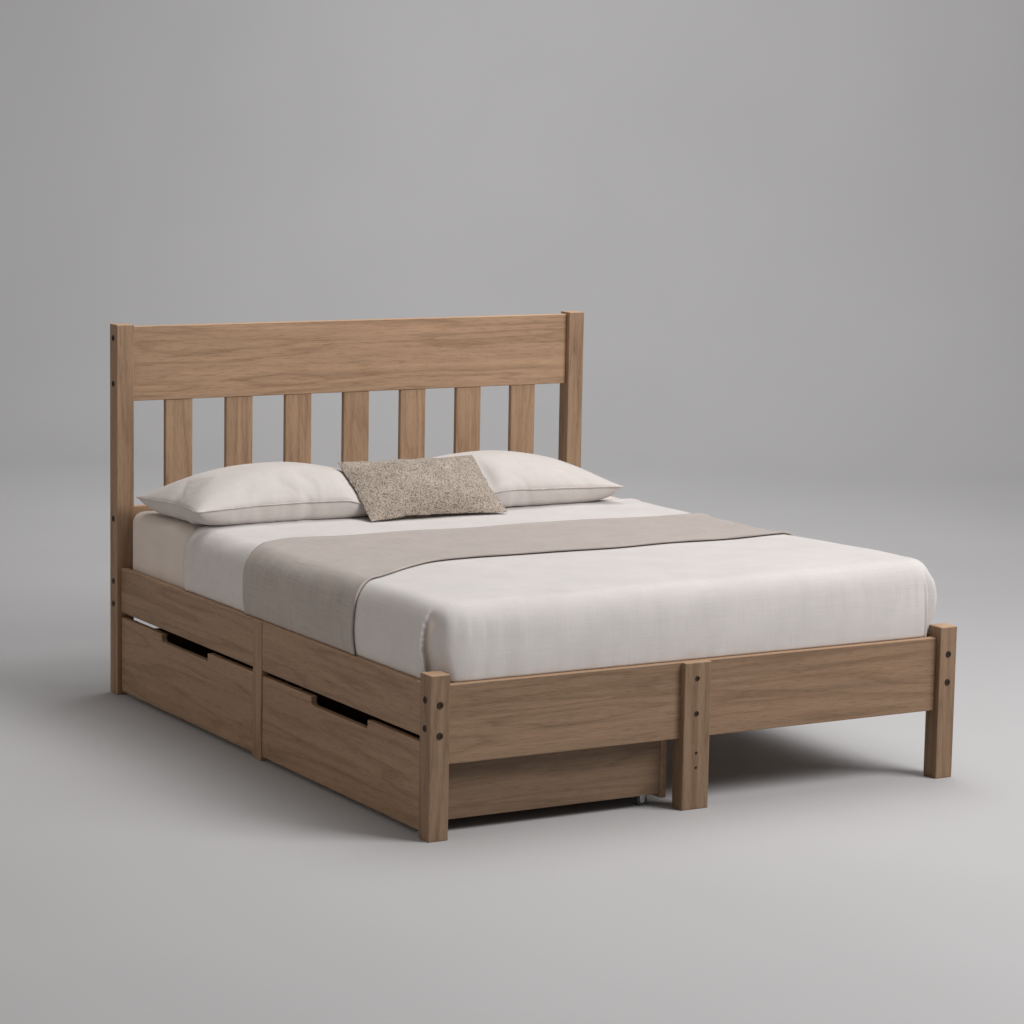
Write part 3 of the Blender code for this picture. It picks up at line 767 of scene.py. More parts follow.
@dataclass
class Drape:
    """A cloth's way from flat coordinates onto a mattress-shaped block with round corners and edges.

    Flat coordinates are metres of cloth from the middle of the bed. Inside the top they are X and Y.
    Past the corner zone, the larger of the two overshoots is how far the cloth has gone over the
    edge, and their ratio turns it round the corner. Going over the edge, the cloth runs flat, then
    round a quarter circle, then straight down.
    """

    half_width: float
    foot: float
    head: float
    top: float
    corner: float
    edge: float
    seed: int = 7
    crease: float = 0.0006
    wave: float = 0.0016
    gather: float = 0.0004

    def profile(self, run: np.ndarray) -> tuple[np.ndarray, np.ndarray, np.ndarray]:
        """How far out and down the cloth is, and its slope, after a run over the edge.

        Args:
            run: metres of cloth past the start of the corner zone.

        Returns:
            The distance outwards, the drop, and the angle of the surface from level.
        """
        flat = self.corner - self.edge
        angle = np.clip((run - flat) / self.edge, 0.0, QUARTER)
        out = np.minimum(run, flat) + self.edge * np.sin(angle)
        fall = np.maximum(run - flat - self.edge * QUARTER, 0.0)
        return out, self.edge * (1 - np.cos(angle)) + fall, angle

    def run_for(self, drop: float) -> float:
        """The run of cloth that reaches a drop below the top."""
        return self.corner - self.edge + self.edge * QUARTER + drop - self.edge

    def depth(self, lie: Lie) -> np.ndarray:
        """How far down the side a point is, from 0 at the top to 1 at the rails."""
        return np.clip(lie.drop / (self.top - RAIL_TOP), 0.0, 1.0)

    def lie(self, across: np.ndarray, along: np.ndarray) -> Lie:
        """Where each point of the flat cloth gets to on the smooth block.

        Args:
            across: flat coordinate across the bed.
            along: flat coordinate along the bed, towards the head.

        Returns:
            The points' places, as arrays.
        """
        inner = self.half_width - self.corner
        over_x = np.maximum(np.abs(across) - inner, 0.0)
        over_foot = np.maximum((self.foot + self.corner) - along, 0.0)
        over_head = np.maximum(along - (self.head - self.corner), 0.0)
        over_y = np.maximum(over_foot, over_head)
        run = np.maximum(over_x, over_y)
        side_first = over_x >= over_y
        tiny = 1e-9
        ratio = np.where(side_first, over_y / (over_x + tiny), over_x / (over_y + tiny))
        turn = np.where(run > 0, np.where(side_first, ratio, 2 - ratio) * math.pi / 4, 0.0)
        out, drop, angle = self.profile(run)
        base_x = np.clip(across, -inner, inner)
        base_y = np.clip(along, self.foot + self.corner, self.head - self.corner)
        corner_run = (QUARTER - turn) * self.corner
        round_run = np.sign(across) * (np.abs(base_x) + corner_run + base_y - self.foot - self.corner)
        toward = np.stack([np.sign(across), np.where(over_foot > 0, -1.0, 1.0)], axis=-1)
        return Lie(across, along, base_x, base_y, turn, toward, out, drop, angle, round_run)

    def shape(self, across: np.ndarray, along: np.ndarray, bulge: float, lift: np.ndarray) -> np.ndarray:
        """Points of the cloth in the room.

        Args:
            across: flat coordinate across the bed.
            along: flat coordinate along the bed, towards the head.
            bulge: how far the hanging sides swell, in metres.
            lift: how far each point stands off besides, in metres.

        Returns:
            An array with X, Y and Z in its last axis.
        """
        lie = self.lie(across, along)
        swell = self.relief(lie, bulge) + lift
        slide = self.slide(lie)
        outward = lie.out + swell * np.sin(lie.angle)
        x = lie.base_x + lie.toward[..., 0] * (np.cos(lie.turn) * outward - np.sin(lie.turn) * slide)
        y = lie.base_y + lie.toward[..., 1] * (np.sin(lie.turn) * outward + np.cos(lie.turn) * slide)
        z = self.top - lie.drop + swell * np.cos(lie.angle)
        return np.stack([x, y, z], axis=-1)

    def relief(self, lie: Lie, bulge: float) -> np.ndarray:
        """How far the cloth stands off the block: a belly on the sides, and soft creases.

        Args:
            lie: the points' places.
            bulge: how far the sides swell, in metres.

        Returns:
            Metres along the surface's normal.
        """
        hang = smooth_step(0.25, 1.2, lie.angle)
        belly = bulge * hang * np.sin(math.pi * self.depth(lie) ** 1.35)
        creases = self.crease * ripples(lie.round_run, 0.35 * lie.drop, self.seed, (0.05, 0.26, 0.5), 14)
        top_waves = self.wave * ripples(lie.across, lie.along, self.seed + 1, (0.22, 0.9, 3.1), 12)
        gathers = self.gather * ripples(lie.round_run, 0.2 * lie.drop, self.seed + 2, (0.02, 0.05, 0.3), 10)
        edge_zone = ridge(0.055, 0.035, lie.drop) * hang
        return belly + creases * hang + top_waves * (1 - hang) + gathers * edge_zone

    def slide(self, lie: Lie) -> np.ndarray:
        """How far the cloth shifts round the corner, in metres: a plain drape doesn't."""
        return np.zeros_like(lie.turn)


@dataclass
class CoverletDrape(Drape):
    """The coverlet's drape, whose foot corners are folded like an envelope over a deep tuck.

    At the left corner the side's flap lies over the tuck, and at the right corner the foot's does.
    """

    left_turn: float = math.radians(24)
    right_turn: float = math.radians(23)
    fold_depth: float = 0.024
    left_width: float = math.radians(48)
    right_width: float = math.radians(22)
    right_wall: float = 0.34
    bow: float = math.radians(9)
    creep: float = math.radians(4)
    roll: float = 0.0060
    lip: float = 0.012
    flap: float = 0.014
    flap_end: float = 0.83

    def past_fold(self, lie: Lie) -> np.ndarray:
        """How far round the corner a point is past the fold, in widths of the tuck.

        The fold bows a little outwards between its top and the rail.
        """
        depth = self.depth(lie)
        bow = self.bow * np.sin(math.pi * depth) - self.creep * depth
        from_left = lie.turn - self.left_turn + bow
        from_right = QUARTER - lie.turn - self.right_turn + bow / 2
        return np.where(lie.across < 0, from_left / self.left_width, from_right / self.right_width)

    def at_corner(self, lie: Lie) -> np.ndarray:
        """How much of the fold there is: none over the bed, all of it down the foot corners."""
        inner = (lie.turn > 0) & (lie.turn < QUARTER) & (lie.along < self.foot + self.corner)
        return smooth_step(0.012, 0.050, lie.drop) * inner

    def tuck(self, lie: Lie) -> np.ndarray:
        """How deep in the tuck a point is, from 0 at its edges to 1 behind the fold.

        The left fold lies over its tuck, and the right one has a steep wall.
        """
        past = self.past_fold(lie)
        wall = np.where(lie.across < 0, 1.0, smooth_step(0.0, self.right_wall, past))
        return np.where(past > 0, np.clip(1 - past, 0.0, 1.0) ** 1.5, 0.0) * wall * self.at_corner(lie)

    def side_flap(self, lie: Lie) -> np.ndarray:
        """How far the side hangs out past the right corner's fold, from 0 to 1, above the foot post."""
        past = self.past_fold(lie)
        depth = np.clip(lie.drop / (self.flap_end * (self.top - RAIL_TOP)), 0.0, 1.0)
        band = smooth_step(0.5, 1.1, past) * (1 - smooth_step(1.6, 2.9, past))
        return band * np.sin(math.pi * depth) * (lie.across > 0) * self.at_corner(lie)

    def relief(self, lie: Lie, bulge: float) -> np.ndarray:
        """The plain relief, with the fold's lip and the flap standing out and the tuck sunk between."""
        past = self.past_fold(lie)
        roll = self.roll * ridge(-0.06, 0.10, past) * (past <= 0) * self.at_corner(lie)
        crown = foot_crown(lie.base_x, lie.base_y) * (1 - smooth_step(0.3, 1.5, lie.angle))
        raised = crown + roll + self.flap * self.side_flap(lie)
        return super().relief(lie, bulge) + raised - self.fold_depth * self.tuck(lie)

    def slide(self, lie: Lie) -> np.ndarray:
        """Points in the left tuck slip back under the fold's lip."""
        return np.where(lie.across < 0, -self.lip, 0.0) * self.tuck(lie) ** 6


@dataclass
class Mattress:
    """The mattress in its fitted sheet: a closed block with round corners and soft edges."""

    finish: WovenFinish = WovenFinish("sheet_cotton", (0.70, 0.62, 0.56), mottle=0.03, slub=0.03)
    edge: float = 0.036
    bottom_edge: float = 0.020
    foot_corner: float = 0.080
    head_corner: float = 0.045
    crease: float = 0.0009
    edge_rows: int = 12
    side_rows: int = 16
    top_rows: int = 24
    least_reach: float = 0.0005

    @staticmethod
    def outline() -> tuple[np.ndarray, np.ndarray]:
        """Samples round a rectangle with round corners.

        A sample's place is signs * (half size - radius) + radius * arcs. On a side, one of the signs
        runs from -1 to 1 and the arc keeps its direction; at a corner, the arc turns.

        Returns:
            The signs and the arcs, with one row for each sample.
        """
        along, turn = np.linspace(-1, 1, 90, endpoint=False), np.linspace(0, QUARTER, 14, False)
        signs, arcs = [], []
        for quarter in range(4):
            angle = quarter * QUARTER
            out = np.array((math.cos(angle), math.sin(angle)))
            left = np.array((-out[1], out[0]))
            signs += [out + along[:, None] * left, np.tile(out + left, (len(turn), 1))]
            bend = np.cos(turn)[:, None] * out + np.sin(turn)[:, None] * left
            arcs += [np.tile(out, (len(along), 1)), bend]
        return np.concatenate(signs), np.concatenate(arcs)

    def build(self) -> bpy.types.Object:
        """Make the block from rings round its outline, from the middle below to the middle above.

        Each ring is the outline drawn in by an inset, at a height: both follow a section that is
        straight up the side with a quarter circle at each end.
        """
        low, high = (np.array(c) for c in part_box("mattress"))
        middle, half = (low + high) / 2, (high - low) / 2
        corner = self.foot_corner
        angle = np.linspace(0, QUARTER, self.edge_rows)
        below = np.array([0.999, 0.8, 0.5, 0.2])
        inset = np.concatenate([
            below * (half[0] - corner) + corner,
            self.bottom_edge * (1 - np.sin(angle)),
            np.zeros(self.side_rows),
            self.edge * (1 - np.cos(angle)),
            np.linspace(self.edge + 0.02, half[0] * below[0], self.top_rows),
        ])
        height = np.concatenate([
            np.full(len(below), low[2]),
            low[2] + self.bottom_edge * (1 - np.cos(angle)),
            np.linspace(low[2] + self.bottom_edge, high[2] - self.edge, self.side_rows + 2)[1:-1],
            high[2] - self.edge * (1 - np.sin(angle)),
            np.full(self.top_rows, high[2]),
        ])
        signs, arcs = self.outline()
        corners = np.interp(signs[:, 1], (-1.0, 1.0), (self.foot_corner, self.head_corner))
        spare = np.maximum(corners - inset[:, None], 0.0)
        reach_x = np.maximum(half[0] - inset, 0.0)[:, None] - spare
        reach_y = np.maximum(half[1] - inset, 0.0)[:, None] - spare
        x = middle[0] + np.maximum(reach_x, self.least_reach) * signs[:, 0] + spare * arcs[:, 0]
        y = middle[1] + np.maximum(reach_y, self.least_reach) * signs[:, 1] + spare * arcs[:, 1]
        z = np.broadcast_to(height[:, None], x.shape).copy()
        side = np.sin(math.pi * np.clip((height - low[2]) / (high[2] - low[2]), 0, 1))[:, None]
        girth = len(below) + self.edge_rows + self.side_rows // 4
        step = np.hypot(*(np.diff(c[girth], append=c[girth, :1]) for c in (x, y)))
        round_run = np.cumsum(step)[None, :]
        tight = self.crease * side * ripples(round_run + 0 * z, 0.2 * z, 31, (0.04, 0.20, 0.3), 12)
        x += tight * arcs[:, 0]
        y += tight * arcs[:, 1]
        z += foot_crown(x, y) * smooth_step(high[2] - 0.04, high[2] - 0.005, z)
        points = np.stack([x, y, z], axis=-1)
        count = len(signs)
        rings = len(inset)
        faces = grid_faces(rings, count, close_columns=True).tolist()
        faces.append(np.arange(count)[::-1].tolist())
        faces.append(((rings - 1) * count + np.arange(count)).tolist())
        uv = np.stack(np.broadcast_arrays(round_run, z + inset[:, None]), axis=-1)
        body = make_mesh("mattress_in_sheet", points, faces, uv)
        face_outwards(body)
        body.data.materials.append(self.finish.material())
        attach(body, ROOT)
        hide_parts("mattress")
        LOG.info("mattress: %d faces", len(body.data.polygons))
        return body


@dataclass
class Coverlet:
    """The pale coverlet, drawn over the mattress and down to just above the rails."""

    finish: WovenFinish = WovenFinish(
        "coverlet_cotton", (0.630, 0.597, 0.580), thread=0.0022, mottle=0.035, slub=0.035
    )
    thickness: float = 0.007
    edge: float = 0.070
    corner: float = 0.0915
    bulge: float = 0.007
    border: float = 0.31
    fine_step: float = 0.005
    coarse_step: float = 0.013
    rail_gap: float = 0.0012
    hem: float = 0.0030

    def drape(self) -> CoverletDrape:
        """The shape that the coverlet takes, from the block that it covers."""
        low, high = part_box("coverlet")
        beyond_head = 2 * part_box("mattress")[1].y
        return CoverletDrape(high.x, low.y, beyond_head, high.z, self.corner, self.edge)

    def build(self) -> bpy.types.Object:
        """Make the cloth on a flat grid and give it its thickness."""
        drape = self.drape()
        head_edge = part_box("coverlet")[1].y
        run = drape.run_for(drape.top - RAIL_TOP - self.rail_gap)
        reach_x = drape.half_width - drape.corner + run
        reach_y = drape.foot + drape.corner - run
        steps = (self.border, self.fine_step, self.coarse_step)
        across = spaced(-reach_x, reach_x, *steps)
        along = spaced(reach_y, head_edge, *steps)
        flat_x, flat_y = np.meshgrid(across, along)
        from_hem = head_edge - flat_y
        hem = self.hem * ridge(0.014, 0.012, from_hem) + self.hem * np.exp(-from_hem / 0.010)
        points = drape.shape(flat_x, flat_y, self.bulge, hem)
        uv = np.stack([flat_x, flat_y], axis=-1)
        cloth = make_mesh("coverlet_cloth", points, grid_faces(*flat_x.shape)[:, ::-1], uv)
        thicken(cloth, self.thickness)
        cloth.data.materials.append(self.finish.material())
        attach(cloth, ROOT)
        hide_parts("coverlet")
        LOG.info("coverlet: flat %.3f x %.3f m", 2 * reach_x, head_edge - reach_y)
        return cloth


def thicken(cloth: bpy.types.Object, thickness: float) -> None:
    """Give a cloth its thickness inwards from its outer face, and apply it."""
    solid = cloth.modifiers.new("thickness", "SOLIDIFY")
    solid.thickness = thickness
    solid.offset = -1.0
    apply_modifiers(cloth)
    cloth.data.shade_smooth()


@dataclass
class Runner:
    """The woven runner, laid askew across the coverlet and drawn down over both sides with it."""

    finish: WovenFinish = WovenFinish(
        "runner_wool", (0.440, 0.390, 0.360), thread=0.0030, mottle=0.05, slub=0.10, relief=0.0005
    )
    foot_edge: float = -0.335
    head_edge: float = 0.153
    skew: float = 0.030
    spread: float = 0.245
    thickness: float = 0.0058
    step: float = 0.006
    rail_gap: float = 0.0010
    clearance: float = 0.0006
    hem: float = 0.0015
    curl: float = 0.0032

    def edges(self, across: np.ndarray) -> tuple[np.ndarray, np.ndarray]:
        """Where the runner's two long edges lie along the bed.

        The runner is pulled narrow over the bed, and opens towards the foot where it goes over the
        left side.

        Args:
            across: flat coordinate across the bed.

        Returns:
            Y of the edge nearer the foot, and of the edge nearer the head.
        """
        left = smooth_step(0.42, 0.86, -across)
        near = self.foot_edge + 0.010 * across - self.spread * left
        far = self.head_edge - self.skew * across - 0.075 * smooth_step(0.62, 0.80, -across)
        wander = 0.004 * ripples(across, 0 * across, 51, (0.35, 1.1, 0.0), 5)
        return near + wander, far - wander

    def build(self, coverlet: Coverlet) -> bpy.types.Object:
        """Make the runner on the coverlet's own shape, with a rolled hem along each long edge."""
        drape = coverlet.drape()
        run = drape.run_for(drape.top - RAIL_TOP - self.rail_gap)
        reach = drape.half_width - drape.corner + run
        across = np.linspace(-reach, reach, int(2 * reach / self.step))
        near, far = self.edges(across)
        width = float(np.max(far - near))
        share = np.linspace(-0.5, 0.5, int(width / self.step))
        flat_x, flat_v = np.meshgrid(across, share)
        flat_y = near + (flat_v + 0.5) * (far - near)
        from_edge = (0.5 - np.abs(flat_v)) * width
        hem = self.hem * ridge(0.012, 0.010, from_edge)
        curl = self.curl * np.exp(-from_edge / 0.010)
        lift = self.thickness + self.clearance + hem + curl
        points = drape.shape(flat_x, flat_y, coverlet.bulge, lift)
        uv = np.stack([flat_x, flat_v * width], axis=-1)
        cloth = make_mesh("runner_cloth", points, grid_faces(*flat_x.shape)[:, ::-1], uv)
        thicken(cloth, self.thickness)
        cloth.data.materials.append(self.finish.material())
        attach(cloth, ROOT)
        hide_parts("runner")
        LOG.info("runner: flat %.3f x %.3f m", 2 * reach, width)
        return cloth


PANEL_CLOTH = {
    "quality": 6,
    "mass": 0.25,
    "tension_stiffness": 22.0,
    "compression_stiffness": 22.0,
    "shear_stiffness": 8.0,
    "bending_stiffness": 0.35,
    "air_damping": 2.5,
    "use_pressure": True,
}


@dataclass
class Stuffed:
    """A bag of two panels sewn together round their edges and blown up."""

    name: str
    length: float
    depth: float
    crown: float
    step: float = 0.011
    pressure: float = 5.0
    frames: int = 22
    slack: float = 0.42
    waist: float = 0.02
    seed: int = 5
    panel_gap: float = 0.010
    unevenness: float = 0.0015
    most_stretch: float = 0.75

    def sewn_panels(self) -> tuple[bpy.types.Object, np.ndarray]:
        """Two flat panels joined at their edges, a little apart in the middle.

        The outline is a rectangle whose sides are cut in between the corners. The gap between the
        panels follows (1 - u^2)(1 - v^2), so it is nothing at the seam.

        Returns:
            The closed bag, and the seam's point numbers in order.
        """
        columns, rows = int(self.length / self.step) | 1, int(self.depth / self.step) | 1
        u, v = np.meshgrid(np.linspace(-1, 1, columns), np.linspace(-1, 1, rows))
        x = u * self.length / 2 * (1 - 0.6 * self.waist * (1 - v**2))
        y = v * self.depth / 2 * (1 - self.waist * (1 - u**2))
        gap = self.panel_gap * (1 - u**2) * (1 - v**2)
        waves = ripples(x, y, self.seed, (0.05, 0.2, 3.1), 12)
        uneven = self.unevenness * waves * (1 - u**2) * (1 - v**2)
        top, bottom = (np.stack([x, y, z + uneven], axis=-1).reshape(-1, 3) for z in (gap, -gap))
        faces = grid_faces(rows, columns)
        count = len(top)
        inner = ((np.abs(u) < 1) & (np.abs(v) < 1)).reshape(-1)
        number = np.arange(count)
        number[inner] = count + np.arange(inner.sum())
        points = np.concatenate([top, bottom[inner]])
        uv = np.concatenate([top[:, :2], top[inner, :2]])
        all_faces = np.concatenate([faces[:, ::-1], number[faces]])
        bag = make_mesh(self.name, points, all_faces, uv)
        grid = np.arange(count).reshape(rows, columns)
        seam = np.concatenate([grid[0, :-1], grid[:-1, -1], grid[-1, :0:-1], grid[:0:-1, 0]])
        return bag, seam

    def inflate(self, bag: bpy.types.Object) -> None:
        """Blow the bag up with a cloth simulation, without gravity, and keep the result."""
        flat = points_of(bag)
        cloth = bag.modifiers.new("inflate", "CLOTH")
        for name, value in PANEL_CLOTH.items():
            setattr(cloth.settings, name, value)
        cloth.settings.uniform_pressure_force = self.pressure
        cloth.settings.effector_weights.gravity = 0.0
        cloth.collision_settings.use_collision = False
        cloth.point_cache.frame_start = 1
        cloth.point_cache.frame_end = self.frames
        scene = bpy.context.scene
        for number in range(1, self.frames + 1):
            scene.frame_set(number)
        apply_modifiers(bag)
        scene.frame_set(1)
        step = points_of(bag) - flat
        far = np.linalg.norm(step, axis=1, keepdims=True)
        most = self.most_stretch * self.crown
        move_points(bag, flat + step * np.minimum(1.0, most / np.maximum(far, 1e-9)))

    def crowned(self, flat: np.ndarray) -> np.ndarray:
        """The shape that an even filling gives the bag, over both panels."""
        u, v = np.abs(2 * flat[:, 0] / self.length), np.abs(2 * flat[:, 1] / self.depth)
        rise = fullness(u, v)
        full = flat.copy()
        full[:, 2] = np.sign(flat[:, 2]) * rise * self.crown / 2
        return full

    def build(self) -> tuple[bpy.types.Object, np.ndarray]:
        """Make the bag, blow it up, and even it out towards its crowned shape.

        Returns:
            The bag about the origin, and the seam's point numbers in order.
        """
        bag, seam = self.sewn_panels()
        full = self.crowned(points_of(bag))
        self.inflate(bag)
        blown = points_of(bag)
        blown[:, 2] *= self.crown / np.ptp(blown[:, 2])
        full += self.slack * (blown - full)
        move_points(bag, full)
        return bag, seam


def refine(obj: bpy.types.Object) -> None:
    """Subdivide a soft piece smoothly, once, and apply it."""
    rounding = obj.modifiers.new("rounding", "SUBSURF")
    rounding.levels = rounding.render_levels = 1
    apply_modifiers(obj)
    obj.data.shade_smooth()


@dataclass
class Cushion:
    """The oblong boucle cushion that leans back on the pillows."""

    finish: BoucleFinish = field(default_factory=BoucleFinish)
    length: float = 0.492
    height: float = 0.285
    crown: float = 0.120
    lean: float = math.radians(34)
    middle_x: float = -0.026
    foot_y: float = 0.392
    back: float = 0.30
    dent_slope: float = 0.9
    loops: float = 0.0010
    sink: float = 0.006
    bed_gap: float = 0.002
    dent_gap: float = 0.004
    dent_softness: float = 0.006
    cloth_gap: float = 0.0012
    cloth_softness: float = 0.0008

    def axes(self) -> tuple[np.ndarray, np.ndarray, np.ndarray]:
        """The middle of the seam's lower edge, the way up the cushion, and the way out of its front."""
        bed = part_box("lumbar_cushion")[0].z
        foot = np.array((self.middle_x, self.foot_y, bed + self.bed_gap - self.sink))
        up = np.array((0.0, math.cos(self.lean), math.sin(self.lean)))
        out = np.array((0.0, -math.sin(self.lean), math.cos(self.lean)))
        return foot, up, out

    def press(self, points: np.ndarray) -> np.ndarray:
        """Push the points of a pillow back behind the cushion.

        A point may stand no further out than the cushion's back, which is an even crown behind the
        seam. Beyond the cushion's edges, the limit rises again with the dent's slope.

        Args:
            points: the pillow's points in the room.

        Returns:
            The points, with those in the way moved straight back.
        """
        foot, up, out = self.axes()
        from_foot = points - foot
        across, rise, ahead = from_foot[:, 0], from_foot @ up, from_foot @ out
        beside = np.maximum(np.abs(across) - self.length / 2, 0.0)
        beyond = np.maximum(np.maximum(rise - self.height, -rise), 0.0)
        u = np.clip(2 * np.abs(across) / self.length, 0, 1)
        v = np.clip(np.abs(2 * rise / self.height - 1), 0, 1)
        depth = self.back * self.crown / 2 * fullness(u, v)
        over = ahead - (self.dent_slope * np.hypot(beside, beyond) - depth - self.dent_gap)
        excess = soft_excess(over, self.dent_softness)
        return points - np.where(over / self.dent_softness > -6, excess, 0.0)[:, None] * out

    def rest(self, points: np.ndarray, coverlet: bpy.types.Object) -> np.ndarray:
        """Flatten the cushion's lowest points on the coverlet under them."""
        cloth = points_of(coverlet)
        beside = np.abs(cloth[:, 0] - self.middle_x) < self.length / 2
        near = beside & (np.abs(cloth[:, 1] - self.foot_y) < 0.04)
        top = float(cloth[near, 2].max()) + self.cloth_gap
        LOG.info("the cushion rests at %.4f m", top)
        over = points[:, 2] - top
        low = over / self.cloth_softness < SOFT_RANGE
        held = np.where(low, top + soft_excess(over, self.cloth_softness), points[:, 2])
        return np.column_stack((points[:, :2], held))

    def build(self, coverlet: bpy.types.Object) -> bpy.types.Object:
        """Make the cushion flat, flatten its back a little, lean it back and raise its loops."""
        size = (self.length, self.height, self.crown)
        stuffed = Stuffed(
            "cushion_stuffed", *size, step=0.0075, pressure=6.0, slack=0.28, waist=-0.02, seed=9
        )
        bag, _ = stuffed.build()
        points = points_of(bag)
        points[:, 2] *= np.where(points[:, 2] < 0, self.back, 1.0)
        foot, up, out = self.axes()
        across = points[:, :1] * np.array((1.0, 0.0, 0.0))
        points = foot + across + (points[:, 1:2] + self.height / 2) * up + points[:, 2:] * out
        move_points(bag, self.rest(points, coverlet))
        face_outwards(bag)
        refine(bag)
        self.raise_loops(bag)
        bag.data.materials.append(self.finish.material())
        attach(bag, ROOT)
        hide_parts("lumbar_cushion")
        LOG.info("cushion: %d faces", len(bag.data.polygons))
        return bag

    def raise_loops(self, bag: bpy.types.Object) -> None:
        """Push the skin in and out by short waves that cross, for yarn loops that stand up."""
        points = points_of(bag)
        normals = np.empty(len(bag.data.vertices) * 3, np.float32)
        bag.data.vertices.foreach_get("normal", normals)
        normals = normals.reshape(-1, 3).astype(float)
        bumps = ripples(points[:, 0], points[:, 1] + 0.7 * points[:, 2], 77, (0.007, 0.013, 3.1), 18)
        move_points(bag, points + normals * (self.loops * bumps)[:, None])


@dataclass
class Pillows:
    """Two pillows side by side at the head, settled on the bed with their corners drooping."""

    finish: WovenFinish = WovenFinish("pillow_cotton", (0.60, 0.555, 0.53), mottle=0.03, slub=0.03)
    crown: float = 0.210
    height: float = 0.156
    seam_height: float = 0.060
    piping: float = 0.0020
    step_down: float = 0.011
    shift: float = 0.022
    turn: float = math.radians(0.8)
    extra_length: float = 0.012
    extra_depth: float = 0.010
    bed_gap: float = 0.0008

    def settle(self, points: np.ndarray, stuffed: Stuffed) -> np.ndarray:
        """Set a blown-up pillow down on the bed.

        The seam comes down a little towards the corners and the back. The upper half keeps its
        shape, and the lower half is pressed flat, with its front wall nearly upright.

        Args:
            points: the blown-up pillow's points about its middle.
            stuffed: the pillow's own sizes.

        Returns:
            The points with Z from the bed.
        """
        out = points.copy()
        u = np.clip(np.abs(points[:, 0]) * 2 / stuffed.length, 0, 1)
        v = np.clip(points[:, 1] * 2 / stuffed.depth, -1, 1)
        seam = self.seam_height - 0.006 * u**4 - 0.010 * smooth_step(-0.6, 1.0, v)
        upper = points[:, 2] > 0
        share = np.abs(points[:, 2]) / (self.crown / 2)
        lift = (self.height - seam) * share
        press = seam * (1 - np.exp(-8.0 * share))
        out[:, 2] = seam + np.where(upper, lift, -press)
        return out

    def build(self, cushion: Cushion) -> list[bpy.types.Object]:
        """Make both pillows with their piped seams.

        Args:
            cushion: the cushion that leans on them and dents them.

        Returns:
            The two pillows.
        """
        material = self.finish.material()
        made = []
        for number, node in enumerate(("pillow_left", "pillow_right")):
            low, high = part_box(node)
            side = -1 if number == 0 else 1
            length = (high.x - low.x) + self.extra_length
            depth = (high.y - low.y) + self.extra_depth
            stuffed = Stuffed(node + "_stuffed", length, depth, self.crown, seed=5 + number)
            bag, seam = stuffed.build()
            cos, sin = math.cos(self.turn * side), math.sin(self.turn * side)
            points = self.settle(points_of(bag), stuffed)
            middle = np.array(((low.x + high.x) / 2 - self.shift, (low.y + high.y) / 2, 0.0))
            spin = np.array(((cos, -sin, 0), (sin, cos, 0), (0, 0, 1)))
            points = points @ spin.T + middle
            beyond = smooth_step(0.54, 0.62, points[:, 1]) * np.exp(-points[:, 2] / 0.05)
            points[:, 2] += low.z + self.bed_gap - self.step_down * beyond
            points = cushion.press(points)
            move_points(bag, points)
            face_outwards(bag)
            path = smooth_loop(points[seam], 3)
            refine(bag)
            bag.data.materials.append(material)
            cord = tube(node + "_piping", path, self.piping)
            cord.data.materials.append(HardFinish("piping_cotton", (0.56, 0.50, 0.47), 0.9).material())
            for obj in (bag, cord):
                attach(obj, ROOT)
            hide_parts(node)
            made.append(bag)
            LOG.info("%s: %d faces", bag.name, len(bag.data.polygons))
        return made


def smooth_loop(path: np.ndarray, passes: int) -> np.ndarray:
    """A loop of points, each drawn halfway to the mean of its two neighbours, a few times over."""
    for _ in range(passes):
        path = 0.5 * path + 0.25 * (np.roll(path, 1, axis=0) + np.roll(path, -1, axis=0))
    return path


# --------------------------------------------------------------------------------------------------
# The room
# --------------------------------------------------------------------------------------------------


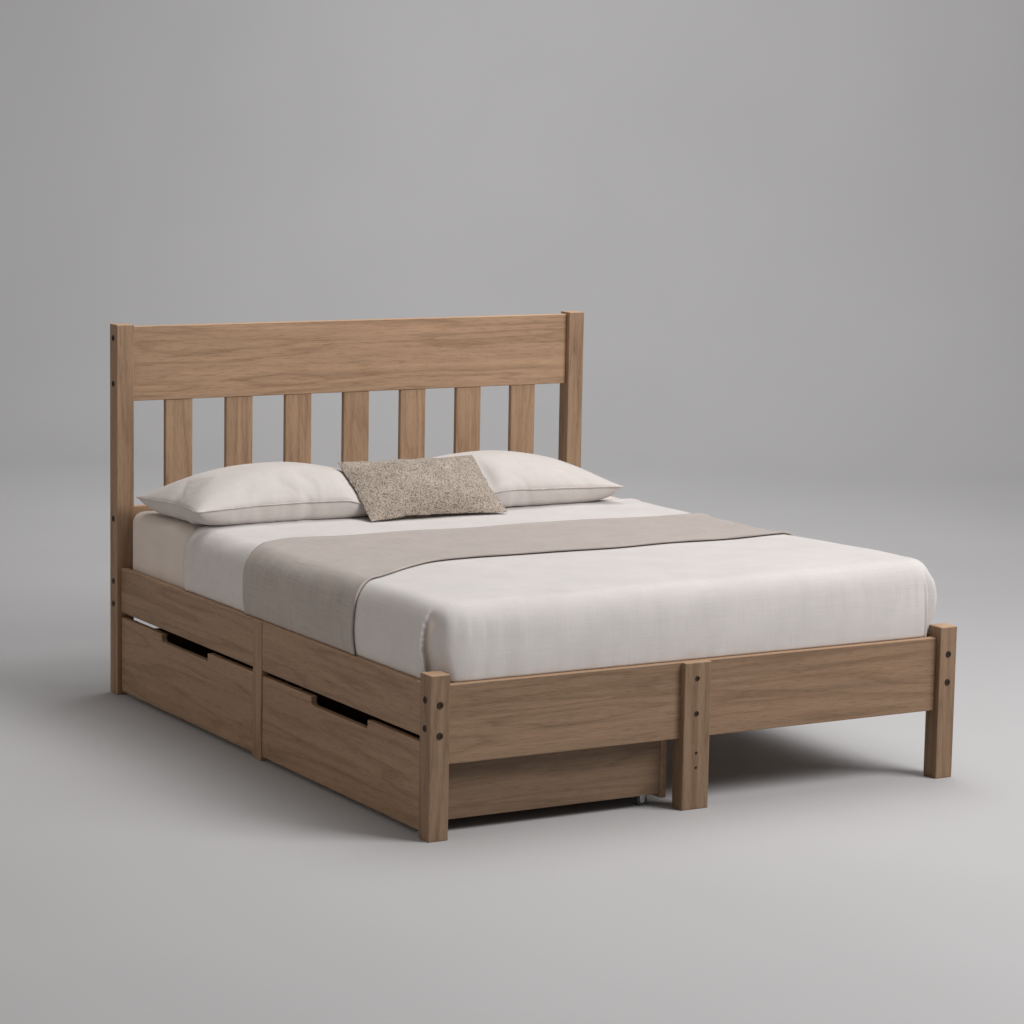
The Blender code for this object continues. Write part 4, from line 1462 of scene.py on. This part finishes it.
@dataclass
class Studio:
    """A pale floor that curves up into a backdrop, soft lights, and the camera."""

    floor: Vec3 = (0.478, 0.473, 0.479)
    sweep: float = 3.0
    front: float = -14.0
    back: float = 6.0
    half_width: float = 16.0
    wall: float = 12.0
    camera_place: Vec3 = (-4.456, -7.656, 1.950)
    camera_turn: Vec3 = (81.734, -1.022, -30.041)
    lens: float = 106.66

    def build_floor(self) -> None:
        """One sheet: level, then a quarter circle, then upright, at the back of the room."""
        view = math.radians(-self.camera_turn[2])
        back = np.array((math.sin(view), math.cos(view), 0.0))
        side = np.array((math.cos(view), -math.sin(view), 0.0))
        angle = np.linspace(0, QUARTER, 24)
        curve = self.back + self.sweep * np.sin(angle)
        depth = np.concatenate([[self.front], curve, [self.back + self.sweep]])[:, None, None]
        height = np.concatenate([[0.0], self.sweep * (1 - np.cos(angle)), [self.wall]])[:, None, None]
        width = np.array([-self.half_width, self.half_width])[None, :, None]
        points = depth * back + width * side + height * UP
        floor = make_mesh("studio_floor", points, grid_faces(len(depth), 2)[:, ::-1])
        book = NodeBook("studio_paper")
        coords = book.add("TexCoord").outputs["Object"]
        cloud = book.noise(coords, 0.6, 3.0)
        tone = book.ramp(cloud, [(0.3, shade(self.floor, 0.97)), (0.7, shade(self.floor, 1.03))])
        book.surface(Base_Color=tone, Roughness=0.75, Specular_IOR_Level=0.25)
        floor.data.materials.append(book.material)

    def build_lights(self) -> None:
        """A large key from the front right, a broad soft top light, and a weak even fill."""
        self.area("key", (2.9, -4.3, 4.8), (0.1, -0.2, 0.4), 3.0, 345.0, (1.0, 0.985, 0.975))
        self.area("top", (1.0, 0.6, 4.6), (0.2, 0.0, 0.3), 3.2, 112.0, (1.0, 0.99, 0.985))
        self.area("fill", (-6.6, -0.6, 1.7), (0.0, 0.2, 0.6), 3.0, 10.0, (1.0, 0.88, 0.77), 70.0)
        self.area("wall", (2.4, 3.4, 5.2), (3.2, 8.0, 2.8), 3.0, 165.0, (1.0, 1.0, 1.0))
        world = bpy.data.worlds.new("studio_air")
        world.use_nodes = True
        air = world.node_tree.nodes["Background"]
        air.inputs["Color"].default_value = (1.0, 0.98, 0.96, 1.0)
        air.inputs["Strength"].default_value = 0.20
        bpy.context.scene.world = world

    @staticmethod
    def area(
        name: str, place: Vec3, target: Vec3, size: float, power: float, colour: Vec3, spread: float = 180.0
    ) -> None:
        """Add a square area light.

        Args:
            name: the light's name.
            place: where it is.
            target: the point that it is turned to.
            size: the length of its sides.
            power: its power in watts.
            colour: its colour.
            spread: how wide its beam is, in degrees.
        """
        data = bpy.data.lights.new(name, "AREA")
        data.shape = "SQUARE"
        data.size = size
        data.energy = power
        data.color = colour
        data.spread = math.radians(spread)
        light = bpy.data.objects.new(name, data)
        light.location = place
        gap = np.array(target) - np.array(place)
        reach = float(np.linalg.norm(gap))
        light.rotation_euler = (
            math.acos(-gap[2] / reach),
            0.0,
            math.atan2(gap[1], gap[0]) - QUARTER,
        )
        bpy.context.scene.collection.objects.link(light)

    def build_camera(self) -> None:
        """Add the camera, a long lens a little above the headboard."""
        data = bpy.data.cameras.new("camera")
        data.lens = self.lens
        data.sensor_width = 36.0
        data.clip_end = 60.0
        camera = bpy.data.objects.new("camera", data)
        camera.location = self.camera_place
        camera.rotation_euler = tuple(math.radians(a) for a in self.camera_turn)
        bpy.context.scene.collection.objects.link(camera)
        bpy.context.scene.camera = camera

    def build(self) -> None:
        """Make the floor, the lights and the camera."""
        self.build_floor()
        self.build_lights()
        self.build_camera()
        bpy.context.scene.view_settings.view_transform = "Standard"


def main() -> None:
    """Build the room and every part of the bed, in order."""
    logging.basicConfig(level=logging.INFO, format="%(name)s %(message)s")
    Studio().build()
    Timber().dress()
    Castors().dress()
    Bolts().build()
    Mattress().build()
    coverlet = Coverlet()
    cloth = coverlet.build()
    Runner().build(coverlet)
    cushion = Cushion()
    Pillows().build(cushion)
    cushion.build(cloth)


if __name__ == "__main__":
    main()
